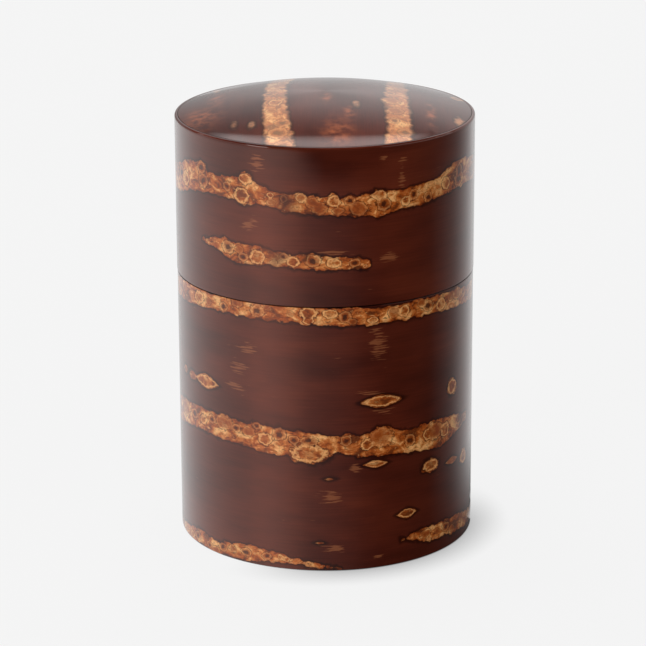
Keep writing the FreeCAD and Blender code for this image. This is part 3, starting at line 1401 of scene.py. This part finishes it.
def body_figure(sheet: TubeSheet) -> BarkFigure:
    """The figure of the body's side.

    Args:
        sheet: The body's sheet.

    Returns:
        The figure.
    """
    reader = FigureReader(sheet, seed=23)
    under_lid = (
        (181, 278, 295),
        (196, 285, 305),
        (206, 291, 307),
        (230, 297, 313),
        (251, 301, 318),
        (279, 305, 321),
        (308, 307, 324),
        (338, 308, 326),
        (369, 308, 325),
        (390, 306, 322),
        (410, 302, 319),
        (430, 297, 314),
        (451, 291, 308),
        (467, 285, 301),
    )
    under_lid_left = ((-110, 66.5, 67), (-92, 66, 71))
    under_lid_right = ((88, 66, 71), (120, 66.5, 70.5), (135, 68.4, 68.8))
    reader.band(under_lid, under_lid_left, under_lid_right)
    middle = (
        (183, 396, 420),
        (196, 404, 426),
        (210, 411, 433),
        (226, 416, 440),
        (247, 423, 446),
        (263, 425, 453),
        (279, 428, 455),
        (296, 431, 455),
        (316, 434, 455),
        (334, 437, 453),
        (349, 434, 455),
        (361, 436, 457),
        (379, 428, 456),
        (394, 429, 454),
        (410, 430, 452),
        (426, 423, 450),
        (446, 417, 442),
        (457, 414, 430),
        (466, 411, 418),
    )
    reader.band(middle, ((-140, 33.4, 33.7), (-120, 31.5, 36), (-95, 31, 37)))
    right_foot = (
        (402, 539, 541),
        (416, 532, 541),
        (430, 526, 540),
        (445, 520, 535),
        (457, 514, 530),
        (469, 506, 519),
    )
    reader.band(right_foot, (), ((95, 2.2, 6.2), (130, 2.5, 6), (145, 4, 4.3)))
    left_foot = (
        (184, 519, 531),
        (191, 525, 539),
        (202, 530, 543),
        (214, 540, 552),
        (226, 542, 555),
        (245, 544, 560),
        (263, 549, 561),
        (279, 553, 562),
        (290, 557, 563),
        (315, 563, 567),
        (341, 568, 570),
    )
    reader.band(left_foot, ((-134, 1, 1.3), (-115, -0.6, 3.4), (-95, -1.2, 3)))
    reader.band((), ((98, 42, 42.3), (116, 40, 45), (150, 41, 47), (176, 42, 46)))
    reader.band((), ((-178, 22, 26), (-156, 21, 27), (-132, 23.4, 24)))
    reader.cells(
        (
            (199, 297, 9, 7, CellKind.RING),
            (257, 311, 8, 7, CellKind.PIT),
            (308, 321, 6, 4, CellKind.RING),
            (330, 314, 8, 5, CellKind.RING),
            (345, 317, 7, 6, CellKind.PIT),
            (373, 320, 7, 3, CellKind.RING),
            (394, 312, 7, 6, CellKind.PLAIN),
            (428, 306, 7, 6, CellKind.PIT),
            (441, 304, 8, 7, CellKind.RING),
            (186, 368, 5, 4, CellKind.PIT),
            (193, 375, 7, 5, CellKind.PLAIN),
            (452, 386, 9, 9, CellKind.EYE),
            (212, 419, 6, 5, CellKind.PIT),
            (236, 428, 6, 5, CellKind.PIT),
            (257, 426, 5, 4, CellKind.PIT),
            (265, 439, 8, 7, CellKind.RING),
            (294, 440, 6, 5, CellKind.PIT),
            (309, 441, 10, 5, CellKind.PIT),
            (309, 454, 20, 10, CellKind.RING),
            (346, 441, 6, 6, CellKind.PIT),
            (367, 445, 7, 6, CellKind.RING),
            (381, 437, 13, 11, CellKind.PLAIN),
            (410, 440, 7, 7, CellKind.PIT),
            (428, 434, 7, 7, CellKind.RING),
            (445, 429, 8, 8, CellKind.RING),
            (431, 465, 11, 7, CellKind.EYE),
            (463, 456, 9, 8, CellKind.EYE),
            (223, 547, 6, 5, CellKind.PIT),
            (246, 552, 7, 5, CellKind.PIT),
            (267, 556, 6, 4, CellKind.PIT),
            (286, 559, 5, 3, CellKind.RING),
        )
    )
    reader.cells(
        (
            (206, 381, 21, 7.5, CellKind.RING),
            (382, 401, 24, 6.5, CellKind.EYE),
            (376, 464, 13, 4, CellKind.EYE),
            (452, 460, 12, 4, CellKind.PLAIN),
            (330, 479, 6, 1.3, CellKind.PLAIN),
            (407, 513, 13, 5, CellKind.EYE),
            (320, 543, 5, 1.3, CellKind.PLAIN),
        ),
        Outline.LENS,
    )
    reader.patches(((461, 416, 10, 10),), reader.figure.faded)
    reader.patches(
        (
            (248, 349, 14, 7),
            (240, 368, 12, 9),
            (236, 386, 15, 5),
            (378, 345, 10, 18),
            (372, 392, 14, 4),
            (384, 411, 13, 3),
            (331, 497, 10, 8),
            (355, 469, 7, 4),
            (334, 549, 13, 5),
            (379, 556, 6, 3),
        ),
        reader.figure.flecks,
    )
    reader.strew(22, degrees=(95, 176), heights=(4, 64))
    return reader.figure


def dome_figure(sheet: DomeSheet) -> BarkFigure:
    """The figure of the lid's dome.

    Args:
        sheet: The dome's sheet.

    Returns:
        The figure.
    """
    reader = FigureReader(sheet, seed=37)
    reader.figure.bleach = 0.32
    left_stripe = (
        (148, 264, 295),
        (141, 265, 294),
        (127, 264, 291),
        (113, 263, 288),
        (97, 264, 287),
        (85, 266, 288),
    )
    reader.stripe(left_stripe, ((28, -14, -7.5), (40, -13, -8)))
    right_stripe = (
        (148, 385, 413),
        (141, 386, 413),
        (127, 387, 412),
        (113, 386, 411),
        (97, 385, 408),
        (85, 386, 405),
    )
    reader.stripe(right_stripe, ((30, 17.5, 22), (40, 17, 21)))
    reader.cells(
        (
            (251, 125, 3.6, 2.4, CellKind.PIT),
            (217, 91, 4.5, 5, CellKind.PLAIN),
            (234, 125, 2, 2, CellKind.PLAIN),
            (356, 104, 3, 3, CellKind.PIT),
            (457, 99, 7, 4, CellKind.PIT),
            (459, 121, 4, 4, CellKind.PLAIN),
        ),
    )
    reader.patches(
        (
            (338, 132, 13, 9),
            (200, 118, 16, 10),
            (431, 114, 4, 12),
            (326, 97, 5, 5),
            (350, 112, 6, 6),
            (216, 100, 7, 8),
        ),
        reader.figure.blushes,
    )
    return reader.figure


# Finishes of the parts inside


class Grain(Enum):
    """How a part's grain or bark lies."""

    WRAPPED = "round the caddy"
    FLAT = "across a disc"


def grain_place(nodes: Nodes, grain: Grain, radius_mm: float = 36.0) -> Socket:
    """Lays a CAD node's surface flat, for textures.

    Args:
        nodes: The material's nodes.
        grain: How the grain lies.
        radius_mm: The radius that a wrapped sheet is laid flat from.

    Returns:
        The socket of its run and rise in millimetres.
    """
    place = nodes.add("ShaderNodeTexCoord").outputs["Object"]
    apart = nodes.add("ShaderNodeSeparateXYZ", {0: place}).outputs
    if grain is Grain.FLAT:
        run = nodes.math("MULTIPLY", apart[1], 1 / MM)
        rise = nodes.math("MULTIPLY", apart[0], 1 / MM)
    else:
        back = nodes.math("MULTIPLY", apart[1], -1.0)
        run = nodes.math("MULTIPLY", nodes.math("ARCTAN2", apart[0], back), radius_mm)
        rise = nodes.math("MULTIPLY", apart[2], 1 / MM)
    return nodes.add("ShaderNodeCombineXYZ", {0: run, 1: rise}).outputs[0]


@dataclass(frozen=True)
class LiningBark:
    """Cherry bark left satin, with fine streaks and small lenticels."""

    grain: Grain
    dark: Colour = (0.090, 0.0260, 0.0120)
    light: Colour = (0.200, 0.0700, 0.0300)
    cork: Colour = (0.420, 0.2000, 0.0850)
    gloss: float = 0.27
    streak_shade: float = 0.6
    streak_dark: float = 0.55
    rim_share: float = 0.7
    mottle_share: float = 0.6
    relief_mm: float = 0.02

    # Its textures, and where in them something starts and is full
    CLOUDS = Cloud(0.03, 0.3, 4.0, 0.6)
    STREAKS = Cloud(0.09, 3.0, 3.0, 0.6)
    LENTICELS = Cloud(0.10, 0.85, 2.5, 0.55)
    MOTTLE = Cloud(1.1, 1.1, 4.0, 0.6)
    CLOUD_STOPS = (0.32, 0.68)
    STREAK_STOPS = (0.30, 0.70)
    LENTICEL = (0.655, 0.70)
    RIM = (0.61, 0.665)
    MOTTLED = (0.4, 0.6)

    def material(self) -> bpy.types.Material:
        """Makes the material.

        Returns:
            The material.
        """
        nodes = Nodes.for_material(f"lining_bark_{self.grain.name.lower()}")
        flat = grain_place(nodes, self.grain)
        shades = zip(self.CLOUD_STOPS, (self.dark, self.light))
        colour = nodes.ramp(nodes.cloud(flat, self.CLOUDS), tuple(shades))
        streaks = nodes.cloud(flat, self.STREAKS)
        greys = zip(self.STREAK_STOPS, (grey(self.streak_dark), grey(1.0)))
        colour = nodes.mix(self.streak_shade, colour, nodes.ramp(streaks, tuple(greys)), "MULTIPLY")
        lenticels = nodes.cloud(flat, self.LENTICELS)
        shown = nodes.steps(lenticels, *self.LENTICEL)
        rim = nodes.steps(lenticels, *self.RIM, 0.0, self.rim_share)
        colour = nodes.mix(rim, colour, self.dark, "MULTIPLY")
        mottle = nodes.steps(nodes.cloud(flat, self.MOTTLE), *self.MOTTLED, 0.0, self.mottle_share)
        cork = nodes.mix(mottle, self.cork, self.light)
        colour = nodes.mix(shown, colour, cork)
        normal = nodes.bump(streaks, self.relief_mm)
        inputs = {"Base Color": colour, "Roughness": self.gloss, "Normal": normal}
        return nodes.finish(nodes.add("ShaderNodeBsdfPrincipled", inputs))


@dataclass(frozen=True)
class BareWood:
    """Bare or oiled wood with a straight grain."""

    name: str
    grain: Grain
    pale: Colour
    dark: Colour
    along: float
    across: float
    gloss: float = 0.5
    pore_fineness: float = 4.0
    pore_shade: float = 0.8
    pore_dark: float = 0.72
    relief_mm: float = 0.02

    LINE_STOPS = (0.30, 0.62)
    PORE_STOPS = (0.34, 0.50)

    def material(self) -> bpy.types.Material:
        """Makes the material.

        Returns:
            The material.
        """
        nodes = Nodes.for_material(self.name)
        flat = grain_place(nodes, self.grain)
        lines = nodes.cloud(flat, Cloud(self.along, self.across, 4.0, 0.6, 0.3))
        colour = nodes.ramp(lines, tuple(zip(self.LINE_STOPS, (self.dark, self.pale))))
        finer = self.pore_fineness
        pores = nodes.cloud(flat, Cloud(self.along * finer, self.across * finer, 2.0))
        greys = zip(self.PORE_STOPS, (grey(self.pore_dark), grey(1.0)))
        colour = nodes.mix(self.pore_shade, colour, nodes.ramp(pores, tuple(greys)), "MULTIPLY")
        normal = nodes.bump(pores, self.relief_mm)
        inputs = {"Base Color": colour, "Roughness": self.gloss, "Normal": normal}
        return nodes.finish(nodes.add("ShaderNodeBsdfPrincipled", inputs))


# The studio


def disc_mesh(name: str, rings: Sequence[float], columns: int, height: float) -> bpy.types.Mesh:
    """Makes a flat disc in rings.

    Args:
        name: The mesh's name.
        rings: Their radii, from 0 outwards.
        columns: How many steps go round.
        height: The disc's height.

    Returns:
        The disc.
    """
    vertices = [(0.0, 0.0, height)]
    faces: list[tuple[int, ...]] = []
    for number, radius in enumerate(rings[1:]):
        start = len(vertices)
        for column in range(columns):
            angle = 2 * math.pi * column / columns
            vertices.append((radius * math.cos(angle), radius * math.sin(angle), height))
        for column in range(columns):
            beside = (column + 1) % columns
            if number == 0:
                faces.append((0, start + column, start + beside))
            else:
                inner = start - columns
                faces.append((inner + column, start + column, start + beside, inner + beside))
    return plain_mesh(name, vertices, faces)


def rows_mesh(name: str, points: Sequence[Vector], columns: int) -> bpy.types.Mesh:
    """Makes a mesh of points that stand in rows.

    Args:
        name: The mesh's name.
        points: The points, row by row.
        columns: How many make a row.

    Returns:
        The mesh.
    """
    faces = []
    for row in range(0, len(points) - columns, columns):
        for left in range(row, row + columns - 1):
            faces.append((left, left + 1, left + 1 + columns, left + columns))
    return plain_mesh(name, points, faces)


def glowing_card(mesh: bpy.types.Mesh, glows: Sequence[float]) -> None:
    """Makes a glowing card that is seen in reflections alone.

    Args:
        mesh: The card's mesh, in place.
        glows: How bright it is at each vertex.
    """
    write_values(mesh, "glow", glows)
    nodes = Nodes.for_material(f"{mesh.name}_glow")
    light = nodes.add("ShaderNodeEmission", {"Strength": nodes.read("glow")})
    mesh.materials.append(nodes.finish(light))
    card = linked(mesh.name, mesh)
    card.visible_camera = False
    card.visible_diffuse = False
    card.visible_transmission = False
    card.visible_volume_scatter = False
    card.visible_shadow = False


@dataclass(frozen=True)
class Card:
    """A flat card for the polish to reflect, in metres.

    It leans up from level by some degrees. The glows are shares of its length, from its near or
    lower edge, with how bright it is there. The sides are shares of its width, from the left, with
    how much of that brightness is there.
    """

    name: str
    place: tuple[float, float, float]
    size: tuple[float, float]
    lean: float
    glows: Glows = ((0.0, 0.0), (1.0, 0.0))
    sides: Glows = ((0.0, 1.0), (1.0, 1.0))

    def make(self) -> None:
        """Hangs the card."""
        wide, long = self.size
        turn = Matrix.Translation(self.place) @ Matrix.Rotation(math.radians(self.lean), 4, "X")
        points = []
        shines = []
        for share, glow in self.glows:
            for side, part in self.sides:
                points.append(turn @ Vector(((side - 0.5) * wide, (share - 0.5) * long, 0)))
                shines.append(glow * part)
        glowing_card(rows_mesh(self.name, points, len(self.sides)), shines)


@dataclass(frozen=True)
class Sun:
    """A broad soft sun, which lights the floor evenly.

    Its azimuth is where it shines from, from the front to the right. The azimuth, the height and
    the softness, which is how wide it is, are in degrees.
    """

    name: str
    azimuth: float
    height: float
    strength: float
    softness: float
    mirrored: bool = False

    def make(self) -> None:
        """Sets the sun, with its reflection if it has one."""
        data = bpy.data.lights.new(self.name, "SUN")
        data.energy = self.strength
        data.angle = math.radians(self.softness)
        turn = math.radians(self.azimuth)
        up = math.sin(math.radians(self.height))
        across = math.cos(math.radians(self.height))
        way = Vector((across * math.sin(turn), -across * math.cos(turn), up))
        lamp = linked(self.name, data)
        lamp.rotation_euler = way.to_track_quat("Z", "Y").to_euler()
        lamp.visible_glossy = self.mirrored


@dataclass(frozen=True)
class Studio:
    """The pale floor, the lamps and the cards that the polish reflects, none of them the caddy's."""

    white: float = 0.913
    fill: float = 0.30
    floor_radius: float = 6.0
    floor_colour: float = 0.04
    floor_glow: float = 0.858
    contact_reach: float = 0.011
    contact_depth: float = 0.9
    table_edge: float = 0.42
    table_edge_left: float = 0.55
    card_reach: float = 2.5
    arch_distance: float = 0.8
    arch_width: float = 6.2 * MM
    arch_fade: float = 8 * MM
    wall_radius: float = 0.04
    shadow_reach: float = 0.05

    # The floor's mesh, and how far to the caddy's right and front its shade starts and is full
    FLOOR_RING = 0.2
    FLOOR_COLUMNS = 96
    FLOOR_HEIGHT = -0.1 * MM
    LEE = (0.005, 0.05)
    CONTACT_SAMPLES = 16

    # The floor as the polish reflects it: rings by first, last and count, and angles in degrees
    CARD_COLUMNS = 180
    CARD_HEIGHT = 0.1 * MM
    NEAR_RINGS = (0.0402, 0.1, 14)
    FAR_RINGS = (0.12, 0.5, 20)
    OUTER_RING = 1.0
    EDGE_ANGLES = (-50, 0)
    EDGE_FADE = (0.0, 0.04)
    BEHIND_ANGLES = (95, 150)
    SHADOW_ANGLES = (60, 170)
    SHADOW_LIGHT = (0.1, 1.0)
    SETTLING_ROUNDS = 60

    # What else it reflects: shares of a length or width, with how bright it is there
    ARCH_ENDS = (-31 * MM, 28 * MM)
    ARCH_STEPS = 40
    ARCH = ((-0.3, 1.9), (0.4, 1.7), (0.75, 1.0), (1.0, 0.0))
    SWEEP = (
        (0.0, 0.46),
        (0.36, 0.48),
        (0.5, 0.48),
        (0.62, 0.34),
        (0.74, 0.18),
        (0.86, 0.06),
        (1.0, 0.0),
    )
    SWEEP_SIDES = (
        (0.0, 0.5),
        (0.455, 0.5),
        (0.478, 0.85),
        (0.497, 1.35),
        (0.515, 1.35),
        (0.535, 1.1),
        (1.0, 1.1),
    )

    CARDS = (
        Card("ceiling_card", (0, -0.55, 0.75), (3.0, 2.1), 0),
        Card("room_card", (0, -1.6, 0.75), (3.0, 1.5), 90),
        Card("sweep_card", (0, 2.4, 1.2), (12.0, 2.5), 90, SWEEP, SWEEP_SIDES),
    )
    SUNS = (
        Sun("key_sun", -39, 15, 2.0, 44, mirrored=True),
        Sun("top_sun", -140, 70, 2.5, 60),
        Sun("side_sun", 45, 15, 0.7, 60),
    )

    # The way that twice the wall's facing points, in degrees, with how bright the floor is there
    FLOOR_REFLECTION = (
        (-180, 0.6),
        (-165, 0.75),
        (-150, 0.85),
        (-130, 0.95),
        (-110, 0.95),
        (-90, 0.92),
        (-70, 0.88),
        (-42, 0.85),
        (-34, 0.72),
        (-26, 0.56),
        (-14, 0.38),
        (0, 0.25),
        (16, 0.14),
        (30, 0.05),
        (45, 0.01),
        (60, 0.0),
        (88, 0.0),
        (100, 0.08),
        (114, 0.20),
        (122, 0.32),
        (130, 0.46),
        (140, 0.60),
        (155, 0.75),
        (165, 0.70),
        (180, 0.6),
    )

    def build(self, dome: DomeSheet) -> None:
        """Sets the studio up.

        Args:
            dome: The lid's dome, which mirrors the arch.
        """
        self.world()
        self.floor()
        self.floor_card()
        for piece in (*self.CARDS, *self.SUNS):
            piece.make()
            log.info("studio: %s", piece.name)
        self.arch_card(dome)

    def world(self) -> None:
        """A white background that lights the caddy only softly."""
        nodes = Nodes(bpy.data.worlds.new("studio_white"))
        strength = nodes.steps(nodes.seen(), 0.0, 1.0, self.fill, self.white)
        back = nodes.add("ShaderNodeBackground", {"Color": (*grey(1.0), 1.0), "Strength": strength})
        bpy.context.scene.world = nodes.finish(back, "ShaderNodeOutputWorld")

    def floor(self) -> None:
        """A pale floor that fades into the background. It keeps the caddy's shadow from the lamps, and
        its glow carries a painted contact shadow near the foot.
        """
        rings = (0.0, self.FLOOR_RING, self.floor_radius)
        mesh = disc_mesh("studio_floor", rings, self.FLOOR_COLUMNS, self.FLOOR_HEIGHT)
        nodes = Nodes.for_material("pale_floor")
        strength = nodes.math("MULTIPLY", self.contact_light(nodes), self.floor_glow)
        strength = nodes.math("MULTIPLY", nodes.seen(), strength)
        glow = nodes.add("ShaderNodeEmission", {"Strength": strength})
        matt = nodes.add("ShaderNodeBsdfDiffuse", {"Color": (*grey(self.floor_colour), 1.0)})
        both = nodes.add("ShaderNodeAddShader", {0: glow.outputs[0], 1: matt.outputs[0]})
        mesh.materials.append(nodes.finish(both))
        linked(mesh.name, mesh)

    def contact_light(self, nodes: Nodes) -> Socket:
        """A painted contact shadow on the floor's glow: ambient occlusion near the foot, on its right
        and in front, away from the lamps on its left.

        Args:
            nodes: The floor's nodes.

        Returns:
            A socket, 1 on the open floor and less near the foot on the right and in front.
        """
        place = nodes.add("ShaderNodeNewGeometry").outputs["Position"]
        axes = nodes.add("ShaderNodeSeparateXYZ", {0: place}).outputs
        lee = nodes.steps(nodes.math("SUBTRACT", axes[0], axes[1]), *self.LEE)
        reach = {"Distance": self.contact_reach}
        sky = nodes.add("ShaderNodeAmbientOcclusion", reach, samples=self.CONTACT_SAMPLES)
        hidden = nodes.math("SUBTRACT", 1.0, sky.outputs["AO"])
        shade = nodes.math("MULTIPLY", nodes.math("MULTIPLY", hidden, self.contact_depth), lee)
        return nodes.math("SUBTRACT", 1.0, shade)

    def floor_card(self) -> None:
        """The floor as the polish reflects it: bright to the left and behind, dark to the right.

        The glow of each place on it is that of the wall that mirrors the place to the camera, so
        that the reflections stand straight up the wall.
        """
        near = np.linspace(*self.NEAR_RINGS)
        far = np.linspace(*self.FAR_RINGS)
        rings = (0.0, *near, *far, self.OUTER_RING, self.card_reach)
        mesh = disc_mesh("floor_card", rings, self.CARD_COLUMNS, self.CARD_HEIGHT)
        places = vertex_places(mesh)
        away = np.maximum(np.hypot(places[:, 0], places[:, 1]), self.wall_radius)
        mirrored = self.wall_angle(np.arctan2(places[:, 0], -places[:, 1]), away)
        angles, glows = zip(*self.FLOOR_REFLECTION)
        glow = np.interp(mirrored, angles, glows)
        edge = np.interp(mirrored, self.EDGE_ANGLES, (self.table_edge_left, self.table_edge))
        table = np.interp(away - edge, self.EDGE_FADE, (1.0, 0.0))
        behind = np.interp(np.abs(mirrored), self.BEHIND_ANGLES, (0.0, 1.0))
        shadow = (self.wall_radius, self.wall_radius + self.shadow_reach)
        start, end = self.SHADOW_ANGLES
        shaded = (mirrored > start) & (mirrored < end)
        shade = np.where(shaded, np.interp(away, shadow, self.SHADOW_LIGHT), 1.0)
        glowing_card(mesh, glow * np.maximum(table, behind) * shade)

    def wall_angle(self, azimuth: np.ndarray, away: np.ndarray) -> np.ndarray:
        """Finds which part of the caddy's wall mirrors a place on the floor to the camera.

        Args:
            azimuth: The places' angles round the axis, in radians from the front to the right.
            away: Their distances from the axis.

        Returns:
            Twice the angle that the wall faces there, in degrees.
        """
        facing = azimuth / 2
        for _ in range(self.SETTLING_ROUNDS):
            facing = (azimuth + np.arcsin(self.wall_radius / away * np.sin(facing))) / 2
        return np.degrees(2 * facing)

    def arch_card(self, dome: DomeSheet) -> None:
        """Hangs a bright arch where the front of the dome's rim mirrors it to the camera.

        Args:
            dome: The lid's dome.
        """
        start, end = self.ARCH_ENDS
        points = []
        glows = []
        for across in np.linspace(start, end, self.ARCH_STEPS):
            edge = math.sqrt(dome.rim_radius**2 - across**2)
            width = self.arch_width * (1 - (across / dome.rim_radius) ** 2)
            fade = min(1.0, (across - start) / self.arch_fade, (end - across) / self.arch_fade)
            for share, glow in self.ARCH:
                points.append(dome.mirrored(across, edge - share * width, self.arch_distance))
                glows.append(glow * fade)
        glowing_card(rows_mesh("arch_card", points, len(self.ARCH)), glows)


# The caddy


@dataclass
class SubAssembly:
    """A body of the record with the pieces that are shown on it."""

    frame: dict
    body: str

    def radius(self, node: str) -> float:
        """The outer radius of a CAD node."""
        return node_radii(self.frame["nodes"][node])[1]

    def dress(self, finish: bpy.types.Material, slot: Slot, *nodes: str) -> None:
        """Gives CAD nodes their finish.

        Args:
            finish: The material.
            slot: The record's slot of it.
            *nodes: The nodes' names.
        """
        for name in nodes:
            node = self.frame["nodes"][name]
            node.data.materials.clear()
            node.data.materials.append(finish)
            log.info("%s: %s in %s", self.body, name, slot.value)

    def show(
        self,
        piece: bpy.types.Object,
        node: str,
        figure: BarkFigure,
        finish: bpy.types.Material,
        slot: Slot = Slot.POLISHED_BARK,
    ) -> None:
        """Puts a piece of our own in a CAD node's stead.

        Args:
            piece: The piece, in place.
            node: The node that it stands for.
            figure: What is drawn on it.
            finish: Its material.
            slot: The record's slot of it.
        """
        figure.scatter_cells()
        figure.write(piece.data)
        piece.data.materials.append(finish)
        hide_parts(node)
        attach(piece, self.body)
        log.info("%s: %s for %s in %s", self.body, piece.name, node, slot.value)


@dataclass
class Finishes:
    """Every material of the caddy."""

    PALE_WOOD = (0.56, 0.36, 0.19)
    TAN_WOOD = (0.36, 0.20, 0.09)
    OILED_WOOD = (0.24, 0.10, 0.045)
    DARK_WOOD = (0.11, 0.04, 0.018)

    polished: bpy.types.Material
    wrapped: bpy.types.Material
    flat: bpy.types.Material
    veneer: bpy.types.Material
    board: bpy.types.Material
    knob: bpy.types.Material

    @classmethod
    def make(cls) -> "Finishes":
        """Makes them.

        Returns:
            The finishes.
        """
        plain = (cls.PALE_WOOD, cls.TAN_WOOD)
        oiled = (cls.OILED_WOOD, cls.DARK_WOOD)
        veneer = BareWood("pale_veneer", Grain.WRAPPED, *plain, along=0.7, across=0.05)
        board = BareWood("board_wood", Grain.FLAT, *plain, along=0.03, across=0.6)
        knob = BareWood("oiled_knob_wood", Grain.WRAPPED, *oiled, along=0.35, across=0.09, gloss=0.28)
        return cls(
            polished=PolishedBark().material(),
            wrapped=LiningBark(Grain.WRAPPED).material(),
            flat=LiningBark(Grain.FLAT).material(),
            veneer=veneer.material(),
            board=board.material(),
            knob=knob.material(),
        )


@dataclass
class CaddyBody(SubAssembly):
    """The body: its barks, core and base, with the collar and liner inside."""

    tube: BarkTube = BarkTube("body_outer_bark", bottom_round=0.4 * MM, top_round=0.25 * MM)

    def build(self, finishes: Finishes, camera: PhotoCamera) -> None:
        """Builds and dresses the body.

        Args:
            finishes: The caddy's materials.
            camera: The photograph's camera.
        """
        low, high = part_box(self.tube.node)
        sheet = TubeSheet(self.radius(self.tube.node), camera, (low.z / MM, high.z / MM))
        side = self.tube.build(self.frame)
        self.show(side, self.tube.node, body_figure(sheet), finishes.polished)
        self.dress(finishes.wrapped, Slot.LINING_BARK, "collar_bark", "liner_bark")
        self.dress(finishes.flat, Slot.LINING_BARK, "base_bark", "floor_bark")
        self.dress(finishes.veneer, Slot.VENEER, "body_core", "collar_sleeve", "liner_core")
        self.dress(finishes.board, Slot.BOARD_WOOD, "base_board")


@dataclass
class Lid(SubAssembly):
    """The lid: its side, domed top and linings."""

    tube: BarkTube = BarkTube("lid_outer_bark", bottom_round=0.25 * MM, top_round=0.55 * MM)
    dome: BarkDome = BarkDome("lid_top_bark")

    def build(self, finishes: Finishes, camera: PhotoCamera) -> None:
        """Builds and dresses the lid.

        Args:
            finishes: The caddy's materials.
            camera: The photograph's camera.
        """
        low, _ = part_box(self.tube.node)
        sheet = TubeSheet(self.radius(self.tube.node), camera, (low.z / MM,))
        side = self.tube.build(self.frame)
        self.show(side, self.tube.node, lid_figure(sheet), finishes.polished)
        top_sheet = self.dome_sheet(camera)
        top = self.dome.build(top_sheet)
        self.show(top, self.dome.node, dome_figure(top_sheet), finishes.polished)
        self.dress(finishes.wrapped, Slot.LINING_BARK, "lid_lining_bark")
        self.dress(finishes.flat, Slot.LINING_BARK, "lid_ceiling_bark")
        self.dress(finishes.veneer, Slot.VENEER, "lid_core")
        self.dress(finishes.board, Slot.BOARD_WOOD, "lid_top_board")

    def dome_sheet(self, camera: PhotoCamera) -> DomeSheet:
        """Reads the dome's shape from its CAD node.

        Args:
            camera: The photograph's camera.

        Returns:
            The dome's sheet.
        """
        low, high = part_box(self.dome.node)
        rim = low.z + self.dome.thickness
        return DomeSheet(self.radius(self.dome.node), rim, high.z - rim, camera)


class InnerLid(SubAssembly):
    """The inner lid with its knob."""

    def build(self, finishes: Finishes) -> None:
        """Dresses the inner lid.

        Args:
            finishes: The caddy's materials.
        """
        self.dress(finishes.flat, Slot.LINING_BARK, "inner_lid_face_bark", "inner_lid_under_bark")
        self.dress(finishes.wrapped, Slot.LINING_BARK, "inner_lid_edge_bark")
        self.dress(finishes.veneer, Slot.VENEER, "inner_lid_skirt")
        self.dress(finishes.board, Slot.BOARD_WOOD, "inner_lid_board")
        self.dress(finishes.knob, Slot.KNOB_WOOD, "inner_lid_knob")


def main() -> None:
    """Builds the scene and logs each piece."""
    logging.basicConfig(level=logging.INFO, format="%(message)s")
    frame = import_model()
    bpy.context.scene.view_settings.view_transform = "Standard"
    camera = PhotoCamera()
    camera.make()
    lid = Lid(frame, "lid")
    Studio().build(lid.dome_sheet(camera))
    finishes = Finishes.make()
    CaddyBody(frame, "caddy_body").build(finishes, camera)
    InnerLid(frame, "inner_lid").build(finishes)
    lid.build(finishes, camera)


if __name__ == "__main__":
    main()
